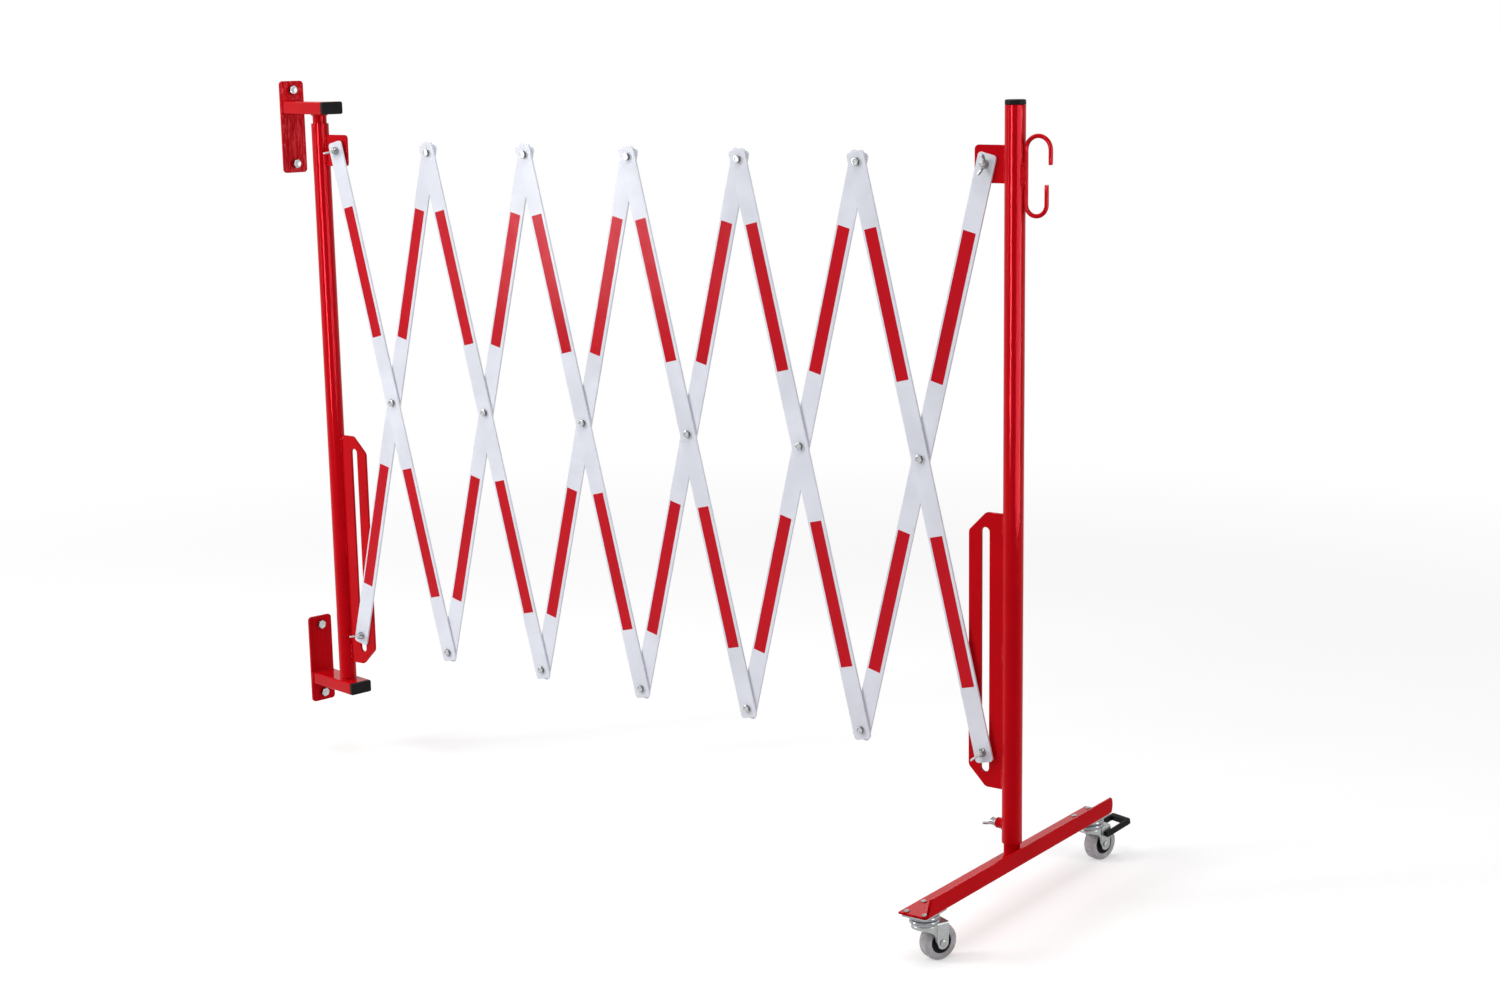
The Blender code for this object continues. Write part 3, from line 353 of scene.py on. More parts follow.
# a plate in XY with softened edges: the first outline is its rim, others are holes
def flatPlate(outlines, thickness, edge=0.0005, soft=2):
    curve = bpy.data.curves.new("plate", "CURVE")
    curve.dimensions = "2D"
    curve.fill_mode = "BOTH"
    curve.extrude = thickness / 2 - edge
    curve.bevel_depth = edge
    curve.bevel_resolution = soft
    curve.offset = -edge
    for outline in outlines:
        spline = curve.splines.new("POLY")
        spline.points.add(len(outline) - 1)
        for point, (across, up) in zip(spline.points, outline):
            point.co = (across, up, 0, 1)
        spline.use_cyclic_u = True
    work = bmesh.new()
    work.from_mesh(meshOf(linked("plate", curve)))
    bmesh.ops.remove_doubles(work, verts=work.verts, dist=0.000002)
    bmesh.ops.recalc_face_normals(work, faces=work.faces)
    # bevel faces are marked for the darker edge colour: rubbed paint and painted shade
    layer = work.faces.layers.float.new("edge")
    for face in work.faces:
        face[layer] = 1.0 if 0.1 < abs(face.normal.z) < 0.98 else 0.0
    return toMesh(work)


# faces between two rows of corners, where a row of one is a tip
def bridge(work, first, second, closed=False):
    count = max(len(first), len(second))
    for index in range(count if closed else count - 1):
        after = (index + 1) % count
        corners = [first[index % len(first)], first[after % len(first)],
                   second[after % len(second)], second[index % len(second)]]
        corners = list(dict.fromkeys(corners))
        if len(corners) > 2:
            work.faces.new(corners)


# rings of (radius, height) round local Z; either may depend on the angle
def turned(levels, steps, hollow=False):
    work = bmesh.new()
    rings = []
    for radius, height in levels:
        if radius == 0:
            rings.append([work.verts.new((0, 0, height))])
            continue
        ring = []
        for index in range(steps):
            angle = 2 * math.pi * index / steps
            reach = radius(angle) if callable(radius) else radius
            up = height(angle) if callable(height) else height
            ring.append(work.verts.new((reach * math.cos(angle), reach * math.sin(angle), up)))
        rings.append(ring)
    pairs = list(zip(rings, rings[1:])) + ([(rings[-1], rings[0])] if hollow else [])
    for first, second in pairs:
        bridge(work, first, second, True)
    if not hollow:
        for ring in (rings[0], rings[-1]):
            if len(ring) > 1:
                work.faces.new(ring)
    return finished(work)


# levels down a bore, with both its mouths softened
def boreLevels(radius, low, high, soft):
    return [(radius + soft, high), (radius, high - soft), (radius, low + soft),
            (radius + soft, low)]


# a rod along 3-D points; radius may depend on the share of the way and the angle
def sweep(path, radius, sides, closed=False):
    work = bmesh.new()
    path = [Vector(point) for point in path]
    count = len(path)
    rings = []
    side = None
    for index, point in enumerate(path):
        before = path[index - 1] if index or closed else path[0]
        after = path[(index + 1) % count] if index < count - 1 or closed else path[-1]
        ahead = (after - before).normalized()
        if side is None:
            side = ahead.orthogonal().normalized()
        side = (side - ahead * side.dot(ahead)).normalized()
        up = ahead.cross(side)
        ring = []
        for step in range(sides):
            angle = 2 * math.pi * step / sides
            reach = radius(index / count, angle) if callable(radius) else radius
            ring.append(work.verts.new(point + reach * (side * math.cos(angle)
                                                        + up * math.sin(angle))))
        rings.append(ring)
    pairs = list(zip(rings, rings[1:]))
    if closed:
        # start the last ring where the first one lines up with it
        first = rings[0]
        shift = min(range(sides), key=lambda step: (first[step].co - rings[-1][0].co).length)
        pairs.append((rings[-1], first[shift:] + first[:shift]))
    for low, high in pairs:
        bridge(work, low, high, True)
    if not closed:
        work.faces.new(rings[0])
        work.faces.new(rings[-1])
    return finished(work)


weld = {"ripple": 0.0020, "depthShare": 0.22, "lumpShare": 0.30, "lumpSteps": (0.7, 900, 40),
        "endShare": 0.45, "endSlope": 6, "sides": 10}


# a run of overlapping weld ripples along straight or curved points
def weldBead(path, size, closed=False):
    points = [Vector(point) for point in path]
    if closed:
        points.append(points[0])
    dense = []
    for first, second in zip(points, points[1:]):
        steps = max(1, int((second - first).length / (weld["ripple"] / 4)))
        dense += [first.lerp(second, step / steps) for step in range(steps)]
    if not closed:
        dense.append(points[-1])
    waves = len(dense) / 4.0
    byWave, bySize, byHeight = weld["lumpSteps"]

    def reach(share, angle):
        wave = weld["depthShare"] * abs(math.sin(math.pi * waves * share))
        spot = Vector((share * waves * byWave, size * bySize, points[0].z * byHeight))
        lump = weld["lumpShare"] * noise.noise(spot)
        end = weld["endSlope"] * min(share, 1 - share) + weld["endShare"]
        return size * (1.0 if closed else min(1.0, end)) * (1 + lump - wave)

    return sweep(dense, reach, weld["sides"], closed)


# join meshes, each alone or with its place, into one
def together(shapes):
    work = bmesh.new()
    work.faces.layers.float.new("edge")
    for shape in shapes:
        mesh, place = shape if isinstance(shape, tuple) else (shape, Matrix())
        mesh = mesh.copy()
        mesh.transform(place)
        work.from_mesh(mesh)
    return toMesh(work)


# melt shapes into one skin, as a forging or a moulding has
def melted(shapes, grain, passes):
    holder = linked("melted", together(shapes))
    remesh = holder.modifiers.new("melt", "REMESH")
    remesh.mode = "VOXEL"
    remesh.voxel_size = grain
    smooth = holder.modifiers.new("smooth", "SMOOTH")
    smooth.factor = 0.5
    smooth.iterations = passes
    return meshOf(holder)


# mark each face for its finish: 1 where it takes the darker edge colour, for rubbed paint and
# painted shade
def markEdges(mesh, amount):
    layer = mesh.attributes.new("edge", "FLOAT", "FACE")
    for face, value in zip(mesh.polygons, layer.data):
        value.value = amount(face.normal)
    return mesh


# painted shade: the upright faces are marked to go darker, for the dark reflections that plating
# shows there
def paintUprightShade(mesh, amount):
    return markEdges(mesh, lambda normal: amount * (1 - min(1.0, abs(normal.z) * 1.3)))


def addPiece(name, mesh, finish, body, place, nodes=(), home=postFrame):
    piece = linked(name, mesh)
    material, slot = finishes[finish]
    mesh.materials.clear()
    mesh.materials.append(material)
    mesh.shade_smooth()
    mesh.set_sharp_from_angle(angle=math.radians(38))
    piece.matrix_world = home @ place
    even = piece.modifiers.new("even shading", "WEIGHTED_NORMAL")
    even.keep_sharp = True
    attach(piece, body)
    if nodes:
        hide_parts(*nodes)
    return piece


# a piece that takes the place of a CAD node, under the node's name in camel case
def replaceNode(node, mesh, finish, body, place=Matrix(), home=postFrame):
    first, *others = node.split("_")
    name = first + "".join(word.title() for word in others)
    return addPiece(name, mesh, finish, body, place, [node], home)


# bevel a piece's sharp edges before its shading is evened
def softenEdges(piece, width):
    soft = piece.modifiers.new("soft edges", "BEVEL")
    soft.width = width
    soft.segments = 2
    soft.angle_limit = math.radians(60)
    piece.modifiers.move(1, 0)


def hexRadius(acrossFlats):
    def reach(angle):
        off = (angle + math.pi / 6) % (math.pi / 3) - math.pi / 6
        return acrossFlats / 2 / math.cos(off)
    return reach


hexagon = {"rimShare": 0.955, "slope": math.tan(math.radians(27)), "footShare": 0.985,
           "dishShares": (0.74, 0.62), "leadShare": 0.12}


# a hexagon with turned chamfers; dish sinks the middle of the top
def hexHead(acrossFlats, low, high, dish=0.0, bore=0.0, bothEnds=False):
    side = hexRadius(acrossFlats)
    rim = acrossFlats / 2 * hexagon["rimShare"]

    def chamfer(angle):
        return (side(angle) - rim) * hexagon["slope"]

    def topEdge(angle):
        return high - chamfer(angle)

    def lowEdge(angle):
        return low + chamfer(angle)

    if bothEnds:
        levels = [(rim, low), (side, lowEdge)]
    else:
        levels = [(lambda angle: side(angle) * hexagon["footShare"], low), (side, low + 0.0001)]
    levels += [(side, topEdge), (rim, high)]
    if bore:
        lead = bore * hexagon["leadShare"]
        return turned(levels + boreLevels(bore, low, high, lead), 48, hollow=True)
    if dish:
        outer, inner = hexagon["dishShares"]
        levels += [(rim * outer, high), (rim * inner, high - dish)]
    return turned([(0, low)] + levels + [(0, high - dish)], 48)


screw = {"pitch": 0.001, "depthShare": 0.55, "ringsPerTurn": 6, "chamfer": 0.0007,
         "taperSlope": 0.9, "tipShare": 0.6}


# a rod with a real screw thread and a chamfered top end
def thread(radius, low, high, pitch=screw["pitch"], steps=28):
    depth = pitch * screw["depthShare"]
    count = int((high - low) / pitch * screw["ringsPerTurn"])
    levels = [(0, low)]
    for index in range(count + 1):
        up = low + (high - low) * index / count

        def reach(angle, up=up):
            phase = (up / pitch - angle / (2 * math.pi)) % 1.0
            groove = depth * abs(2 * phase - 1)
            taper = max(0.0, up - (high - screw["chamfer"])) * screw["taperSlope"]
            return radius - groove - taper
        levels.append((reach, up))
    levels += [(radius * screw["tipShare"], high), (0, high)]
    return turned(levels, steps)


# Wall brackets: plate, hollow arm, pin and welds
bracket = {
    "plate": (0.044, 0.148, 0.005),
    "corner": 0.006,
    "plateSoft": 0.0008,
    "boltHole": 0.0043,
    "boltMargin": 0.0145,
    "arm": (0.040, 0.020),
    "armCorner": 0.0028,
    "armWall": 0.002,
    "boreCorner": 0.001,
    "armEnd": 0.1137,
    "armHeights": {"lower": -0.0315, "upper": 0.9275},
    "plateLow": {"lower": -0.074, "upper": 0.822},
    "pinRadius": 0.0112,
    "pinLength": {"lower": 0.0475, "upper": 0.0595},
    "pinRoot": -0.001,
    "pinChamfer": 0.0015,
    # the collar's inset from the tube and its height, then what the pin adds at heights above
    "collar": (0.0004, 0.0009),
    "fillet": ((0.0014, 0.0024), (0, 0.0027)),
    "seamWeld": 0.0021,
    "pinWeld": 0.0012,
    "sink": 0.0006,
}
# Turns a plate drawn in XY to face out of the wall, its X along the wall's Y
facingOut = Matrix(((0, 0, 1, 0), (1, 0, 0, 0), (0, 1, 0, 0), (0, 0, 0, 1)))


def makeBracket(label):
    width, height, thick = bracket["plate"]
    margin, wall = bracket["boltMargin"], bracket["armWall"]
    low, armZ = bracket["plateLow"][label], bracket["armHeights"][label]
    rim = roundCorners(rectangle(-width / 2, 0, width / 2, height), bracket["corner"])
    holes = [circle((0, up), bracket["boltHole"]) for up in (margin, height - margin)]
    plate = flatPlate([rim] + holes, thick, bracket["plateSoft"], 3)
    wide, tall = bracket["arm"]
    outer = panel(wide, tall, bracket["armCorner"])
    inner = panel(wide - 2 * wall, tall - 2 * wall, bracket["boreCorner"], 3)
    armLength = bracket["armEnd"] - thick + bracket["sink"]
    arm = flatPlate([outer, inner], armLength, 0.0003, 1)
    radius, length = bracket["pinRadius"], bracket["pinLength"][label]
    root, chamfer = bracket["pinRoot"], bracket["pinChamfer"]
    inset, rise = bracket["collar"]
    collar = barrier["tubeRadius"] - inset
    pin = turned([(0, root), (collar, root), (collar, rise),
                  *((radius + more, up) for more, up in bracket["fillet"]),
                  (radius, length - chamfer), (radius - chamfer, length), (0, length)], 64)
    side = 1 if label == "lower" else -1
    pinPlace = moved(barrier["postReach"], 0, armZ + side * tall / 2)
    if side < 0:
        pinPlace = pinPlace @ spun(180, "X")
    seam = [(thick + 0.0004, across * 1.01, armZ + up * 1.01) for across, up in outer]
    ring = [(x, y, armZ + side * (tall / 2 + 0.0001))
            for x, y in circle((barrier["postReach"], 0), radius + 0.0016, 60)]
    addPiece(f"wallPlate{label.title()}", plate, "wavyRed", "wall_brackets",
             moved(thick / 2, 0, low) @ facingOut, home=wallFrame)
    shapes = [(arm, moved(bracket["armEnd"] - armLength / 2, 0, armZ) @ facingOut),
              (pin, pinPlace), weldBead(seam, bracket["seamWeld"], True),
              weldBead(ring, bracket["pinWeld"], True)]
    replaceNode(f"wall_bracket_{label}", together(shapes), "red", "wall_brackets",
                home=wallFrame)
    makeArmCap(label, armZ)
    for end, up in (("low", low + margin), ("high", low + height - margin)):
        makeWallBolt(label, end, moved(thick, 0, up))


armCap = {"flange": 0.004, "round": 0.0014, "corner": 0.0032, "insert": 0.012, "rib": 0.0006,
          "steps": 4}


def makeArmCap(label, armZ):
    wide, tall = bracket["arm"]
    start = bracket["armEnd"] + gap
    cap = flatPlate([panel(wide, tall, armCap["corner"])], armCap["flange"], armCap["round"], 5)
    shapes = [(cap, moved(start + armCap["flange"] / 2, 0, armZ) @ facingOut)]
    length = armCap["insert"] / armCap["steps"]
    for step in range(armCap["steps"]):
        shrink = 2 * (bracket["armWall"] + gap + (armCap["rib"] if step % 2 == 0 else 0))
        block = flatPlate([panel(wide - shrink, tall - shrink, bracket["boreCorner"], 3)],
                          length + 0.0004, 0.0003)
        shapes.append((block, moved(start - length * (step + 0.5), 0, armZ) @ facingOut))
    replaceNode(f"arm_cap_{label}", together(shapes), "black", "wall_brackets", home=wallFrame)


wallBolt = {
    "flats": 0.013,
    "head": (0.0012, 0.0058),
    "dish": 0.0004,
    "turns": {"low": 11, "high": 23},
    "washer": ((0, 0.0003), (0.0062, 0.0003), (0.0064, 0.0005), (0.0064, 0.0011),
               (0.0061, 0.0013), (0, 0.0013)),
    "shank": ((0, -0.0049), (0.0038, -0.0049), (0.004, -0.0046), (0.004, 0.001), (0, 0.001)),
}


def makeWallBolt(label, end, place):
    # painted shade on the upright faces of the head and the washer
    head = paintUprightShade(hexHead(wallBolt["flats"], *wallBolt["head"], dish=wallBolt["dish"]), 1.0)
    shapes = [(head, spun(wallBolt["turns"][end], "Z")),
              paintUprightShade(turned(wallBolt["washer"], 40), 1.0), turned(wallBolt["shank"], 24)]
    replaceNode(f"wall_bolt_{label}_{end}", together(shapes), "zinc", "wall_brackets",
                place @ spun(90, "Y"), wallFrame)


for bracketLabel in ("lower", "upper"):
    makeBracket(bracketLabel)
print("wall brackets made")


# Posts with their plates
post = {
    "wall": (0.1413, 1.0630),
    "mobile": (0.0967, 1.0967),
    "plate": 0.004,
    "topReach": 0.060,
    "topHeight": 0.050,
    "topCorner": 0.006,
    "slotReach": 0.068,
    "slotChamfer": 0.027,
    "slotCorner": 0.009,
    "slot": (0.1907, 0.5344),
    "slotHalf": 0.0063,
    "slotMargin": 0.021,
    "weld": 0.0023,
    "topStitch": 0.021,
    "stitch": 0.026,
    "stitchInset": 0.004,
}
slotPlate = (post["slot"][0] - post["slotMargin"], post["slot"][1] + post["slotMargin"])


def makeTube(outer, inner, low, high):
    soft = barrier["tubeSoft"]
    inset = soft * 0.3
    mesh = turned([(outer - soft, low), (outer - inset, low + inset), (outer, low + soft),
                   (outer, high - soft), (outer - inset, high - inset), (outer - soft, high),
                   *boreLevels(inner, low, high, soft)], barrier["tubeSteps"], hollow=True)
    # painted shade: the tube's end faces are marked for the darker edge colour
    return markEdges(mesh, lambda normal: 1.0 if abs(normal.z) > 0.3 else 0.0)


# a post's tube with its top plate and slotted plate; side is 1 on the wall post
def makePost(label, side):
    inner = barrier["tubeRadius"] - 0.0012
    middle, half = barrier["pivotOffset"], post["slotHalf"]
    low, high = topPivot - post["topHeight"] / 2, topPivot + post["topHeight"] / 2
    corner = post["topCorner"]
    top = [roundCorners(rectangle(inner, low, post["topReach"], high), [0, corner, corner, 0]),
           circle((middle, topPivot), barrier["pivotHole"], 24)]
    low, high = slotPlate
    reach, cut, soft = post["slotReach"], post["slotChamfer"], post["slotCorner"]
    rim = roundCorners([(inner, low), (reach - cut, low), (reach, low + cut),
                        (reach, high - cut), (reach - cut, high), (inner, high)],
                       [0, soft, soft, soft, soft, 0])
    slot = (arc((middle, post["slot"][0] + half), half, 180, 360, 12)
            + arc((middle, post["slot"][1] - half), half, 0, 180, 12))
    shapes = [makeTube(barrier["tubeRadius"], barrier["tubeBore"], *post[label])]
    for outlines in (top, [rim, slot]):
        if side < 0:
            outlines = [mirrored(outline) for outline in outlines]
        shapes.append((flatPlate(outlines, post["plate"]), toFront))
    return shapes


# stitch welds down both faces of each plate, where it meets the tube
def makePostWelds(side):
    low, high = slotPlate
    middle, run, inset = (low + high) / 2, post["stitch"], post["stitchInset"]
    across = side * (barrier["tubeRadius"] + 0.0002)
    beads = []
    for start, end in ((topPivot - post["topStitch"], topPivot + post["topStitch"]),
                       (low + inset, low + inset + run), (middle - run / 2, middle + run / 2),
                       (high - inset - run, high - inset)):
        for face in (-1, 1):
            path = [(across, face * (post["plate"] / 2 + 0.0003),
                     start + (end - start) * step / 12) for step in range(13)]
            beads.append(weldBead(path, post["weld"]))
    return beads


hook = {"rod": 0.00298, "stem": 0.0163, "upper": (1.039, 0.018, 0.019),
        "lower": (0.969, 0.0152, 0.0255), "weld": (0.990, 1.0245),
        # how far round the tube each run of weld lies, and its size
        "runs": ((9, 0.0030), (17, 0.0027), (24, 0.0019)), "stray": 4, "tipShare": 0.90}


def makeHook():
    stem = hook["stem"]
    height, radius, tail = hook["upper"]
    upper = arc((stem + radius, height), radius, 0, 180, 28)
    path = [(upper[0][0], upper[0][1] - tail * (4 - step) / 4) for step in range(4)] + upper
    straight = hook["upper"][0] - hook["lower"][0]
    path += [(stem, height - straight * step / 6) for step in range(1, 6)]
    height, radius, tail = hook["lower"]
    lower = arc((stem + radius, height), radius, 180, 360, 28)
    path += lower + [(lower[-1][0], lower[-1][1] + tail * step / 4) for step in range(1, 5)]

    def reach(share, angle):
        tip = share == 0 or share > (len(path) - 1.5) / len(path)
        return hook["rod"] * (hook["tipShare"] if tip else 1)

    shapes = [sweep([(x, 0, z) for x, z in path], reach, 20)]
    start, end = hook["weld"]
    radius = barrier["tubeRadius"]
    for face in (-1, 1):
        for number, (aside, size) in enumerate(hook["runs"]):
            bead = []
            for step in range(21):
                up = start + (end - start) * (step + number % 2) / 21
                stray = hook["stray"] * noise.noise(Vector((step * 0.8, number * 3.1, face)))
                turn = math.radians(face * (aside + stray))
                bead.append((radius * math.cos(turn), radius * math.sin(turn), up))
            shapes.append(weldBead(bead, size))
    return together(shapes)


screwBoss = {"radius": 0.0075, "length": 0.009, "height": 0.1207, "bore": 0.0043,
             "root": 0.0125, "soft": 0.0006, "lead": 0.0004, "weld": 0.0012}


# the boss that takes the foot's wing screw, with the weld round its root
def makeBoss():
    size, bore, root, soft, lead = (screwBoss[key] for key in
                                    ("radius", "bore", "root", "soft", "lead"))
    reach = barrier["tubeRadius"] + screwBoss["length"]
    boss = turned([(size, root), (size, reach - soft), (size - soft, reach),
                   (bore + lead, reach), (bore, reach - lead), (bore, root)], 48, hollow=True)
    ring = []
    for up, across in circle((0, 0), size + 0.0004, 48):
        out = math.sqrt(barrier["tubeRadius"] ** 2 - across ** 2)
        ring.append((-out - 0.0001, across, screwBoss["height"] + up))
    return [(boss, moved(0, 0, screwBoss["height"]) @ spun(-90, "Y")),
            weldBead(ring, screwBoss["weld"], True)]


postCap = {"height": 0.0065, "round": 0.0022, "insert": 0.012, "ribs": 4}


def makePostCap():
    radius, tall, soft = barrier["tubeRadius"], postCap["height"], postCap["round"]
    levels = [(0, tall)] + arc((radius - soft, tall - soft), soft, 0, 90, 8)[::-1]
    inner = barrier["tubeBore"] - gap
    levels += [(radius, 0.0003), (radius - 0.0003, 0)]
    for rib in range(postCap["ribs"]):
        up = -postCap["insert"] * (rib + 0.25) / postCap["ribs"]
        levels += [(inner - 0.0007, up), (inner, up - 0.0007), (inner, up - 0.0016),
                   (inner - 0.0007, up - 0.0022)]
    levels += [(0, -postCap["insert"])]
    replaceNode("post_cap", turned(levels, 80), "black", "mobile_post",
                moved(mobileX, 0, post["mobile"][1] + gap))


wallShapes = makePost("wall", 1) + makePostWelds(1)
replaceNode("wall_post", together(wallShapes), "red", "wall_post")
mobileShapes = makePost("mobile", -1) + makeBoss() + [makeHook()] + makePostWelds(-1)
replaceNode("mobile_post", together(mobileShapes), "red", "mobile_post", moved(mobileX))
makePostCap()
print("posts made")


# Lattice bars with their reflective films
bar = {
    "width": 0.028,
    "thickness": 0.003,
    "overhang": 0.014,
    "corner": 0.005,
    "filmShares": (0.1115, 0.368),
    "filmWidth": 0.020,
    "filmCorner": 0.0008,
    "filmSheet": 0.0004,
    "filmRise": 0.00012,
    "filmShift": {"front": -0.0006, "back": -0.0012},
}


def makeBars():
    half = barrier["pivotLength"] / 2
    rim = panel(bar["width"], 2 * (half + bar["overhang"]), bar["corner"])
    holes = [circle((0, up), barrier["pivotHole"], 24) for up in (-half, 0, half)]
    plate = flatPlate([rim] + holes, bar["thickness"], 0.0004)
    start, end = (share * barrier["pivotLength"] - half for share in bar["filmShares"])
    wide, sheet = bar["filmWidth"] / 2, bar["filmSheet"]
    rise = bar["thickness"] / 2 - sheet / 2 + bar["filmRise"]
    patches = []
    for low, high in ((start, end), (-end, -start)):
        outline = roundCorners(rectangle(-wide, low, wide, high), bar["filmCorner"], 3)
        patch = flatPlate([outline], sheet, 0.00005, 0)
        patches += [(patch, moved(0, 0, side * rise)) for side in (-1, 1)]
    film = together(patches)
    for index in range(barrier["crossings"]):
        across = barrier["pivotOffset"] + (index + 0.5) * nodeStep
        for layer, lean in (("front", -1), ("back", 1)):
            place = (moved(across, barrier[layer + "Layer"], middlePivot)
                     @ Euler((math.pi / 2, lean * barrier["restAngle"], 0)).to_matrix().to_4x4())
            body = f"{layer}_bar_{index + 1}"
            replaceNode(body, plate, "white", body, place)
            addPiece(f"{layer}BarFilm{index + 1}", film, "film", body,
                     place @ moved(bar["filmShift"][layer]))


makeBars()
print("lattice bars made")

# Fasteners of the lattice
latticeBolt = {"flats": 0.010, "head": (0.0066, 0.0106), "nut": (-0.0053, -0.0003),
               "nutBore": 0.0027, "shank": 0.003, "neck": 0.0068, "end": -0.0063,
               "dish": 0.0009, "front": -0.0023, "turnStep": 37, "rowTurn": 13}


def makeLatticeBolts():
    # painted shade on the head's upright faces
    head = paintUprightShade(hexHead(latticeBolt["flats"], *latticeBolt["head"],
                          dish=latticeBolt["dish"]), 0.8)
    nut = hexHead(latticeBolt["flats"], *latticeBolt["nut"], bore=latticeBolt["nutBore"],
                  bothEnds=True)
    radius, tall = latticeBolt["shank"], latticeBolt["neck"]
    shank = thread(radius, -latticeBolt["nut"][1] - 0.0005, -latticeBolt["end"])
    neck = turned([(0, 0.0), (radius, 0.0), (radius, tall), (0, tall)], 28)
    rows = (("top", 1, 0.0, topPivot), ("middle", 0, 0.5, middlePivot),
            ("low", 1, 0.0, barrier["lowPivot"]))
    for row, first, shift, height in rows:
        for index in range(first, barrier["crossings"]):
            number = index - first + 1
            carrier = index if row == "low" else index + 1
            spin = spun(latticeBolt["turnStep"] * index + latticeBolt["rowTurn"] * len(row), "Z")
            shapes = [(head, spin), (nut, spin.inverted()), (shank, spun(180, "X")), neck]
            place = moved(barrier["pivotOffset"] + (index + shift) * nodeStep,
                          latticeBolt["front"], height)
            addPiece(f"latticeBolt{row.title()}{number}", together(shapes), "zinc",
                     f"front_bar_{carrier}", place @ toFront, [f"pivot_bolt_{row}_{number}"])


makeLatticeBolts()
print("lattice bolts made")

# Clamped ends: bolt, wing nut and spacer
wing = {
    "base": 0.0062,
    "top": 0.0046,
    "hub": 0.0085,
    "hubSoft": 0.0004,
    "skirt": 0.0012,
    "waist": 0.0052,
    "bore": 0.0033,
    "span": 0.030,
    "rise": 0.0145,
    "thick": 0.0032,
    "soft": 0.0009,
    "shares": ((0.0, 0.10), (0.42, 0.18), (0.80, 0.52), (0.98, 0.84), (0.95, 1.0),
               (0.78, 0.98), (0.52, 0.66), (0.30, 0.56), (0.0, 0.50)),
    "corners": [0, 0.002, 0.002, 0.0012, 0.0012, 0.0012, 0.003, 0.002, 0],
    "grain": 0.00033,
}
clampBolt = {
    "head": ((0, -0.0035), (0.0055, -0.0035), (0.0085, -0.0029), (0.0098, -0.0018),
             (0.010, -0.0010), (0.0098, -0.0003)),
    "neckRadius": {"top": 0.003, "low": 0.006},
    "neckEnd": 0.0038,
    "shank": 0.003,
    "threadStart": 0.0035,
    "back": 0.002,
    "nutFace": {"front": -0.0086, "back": -0.0053},
    "pastFace": 0.0115,
}
spacer = {"radius": 0.009, "bore": 0.0033, "half": 0.00135, "soft": 0.0002}
# each one's place along the lattice, row, bar under the nut, turn of the nut and carrier
clamps = {
    "wall_top": (0, "top", "front", 17, "wall_post"),
    "wall_low": (0, "low", "back", 6, "back_bar_1"),
    "mobile_top": (6, "top", "back", 77, "mobile_post"),
    "mobile_low": (6, "low", "front", 43, "front_bar_6"),
}


# hub and wings melted together, as the forging is
def wingShape(hubLength, bore):
    base, top, soft = wing["base"], wing["top"], wing["hubSoft"]
    levels = [(base - soft, 0), (base, soft), (base, wing["skirt"]), (top + soft, wing["waist"]),
              (top, hubLength - soft), (top - soft, hubLength)]
    if bore:
        hub = turned(levels + boreLevels(bore, 0, hubLength, soft), 40, hollow=True)
    else:
        hub = turned([(0, 0)] + levels + [(0, hubLength)], 40)
    lift = hubLength - wing["hub"] + wing["rise"]
    start = (bore or 0.0005) + 0.0006
    outline = [(max(start, across * wing["span"] / 2), up * lift)
               for across, up in wing["shares"]]
    blade = flatPlate([roundCorners(outline, wing["corners"], 4)], wing["thick"], wing["soft"], 3)
    shapes = [hub, (blade, toFront), (blade, spun(180, "Z") @ toFront)]
    # painted shade on the wing nut's upright faces
    return paintUprightShade(melted(shapes, wing["grain"], 5), 0.7)


def makeSpacer():
    outer, bore, half, soft = (spacer[key] for key in ("radius", "bore", "half", "soft"))
    return turned([(outer - soft, -half), (outer, -half + soft), (outer, half - soft),
                   (outer - soft, half), *boreLevels(bore, -half, half, soft)], 48, hollow=True)


def makeClamps():
    nut = wingShape(wing["hub"], wing["bore"])
    for label, (step, row, layer, turn, carrier) in clamps.items():
        across = barrier["pivotOffset"] + step * nodeStep
        height = topPivot if row == "top" else barrier["lowPivot"]
        face = clampBolt["nutFace"][layer]
        neck, neckEnd = clampBolt["neckRadius"][row], clampBolt["neckEnd"]
        head = turned([*clampBolt["head"], (neck, -0.0003), (neck, neckEnd), (0, neckEnd)], 48)
        shank = thread(clampBolt["shank"], clampBolt["threadStart"],
                       clampBolt["back"] - face + clampBolt["pastFace"])
        replaceNode(f"clamp_bolt_{label}", together([head, shank]), "zinc", carrier,
                    moved(across, clampBolt["back"], height) @ toFront)
        replaceNode(f"wing_nut_{label}", nut, "zinc", f"wing_nut_{label}",
                    moved(across, face - gap, height) @ toFront @ spun(turn, "Z"))
        if layer == "front":
            replaceNode(f"spacer_{label}", makeSpacer(), "zinc", carrier,
                        moved(across, barrier["backLayer"], height) @ toFront)


footScrew = {"hub": 0.0098, "radius": 0.004, "root": 0.002, "length": 0.0118, "pitch": 0.00125}


def makeFootScrew():
    root = footScrew["root"]
    stem = thread(footScrew["radius"], 0.0, footScrew["length"] + root, footScrew["pitch"], 32)
    shapes = [wingShape(footScrew["hub"], 0), (stem, moved(0, 0, root) @ spun(180, "X"))]
    reach = barrier["tubeRadius"] + screwBoss["length"] + gap
    replaceNode("foot_screw", together(shapes), "zinc", "foot_screw",
                moved(mobileX - reach, 0, screwBoss["height"]) @ spun(-90, "Y") @ spun(90, "Z"))


makeClamps()
makeFootScrew()
print("clamps and wing nuts made")

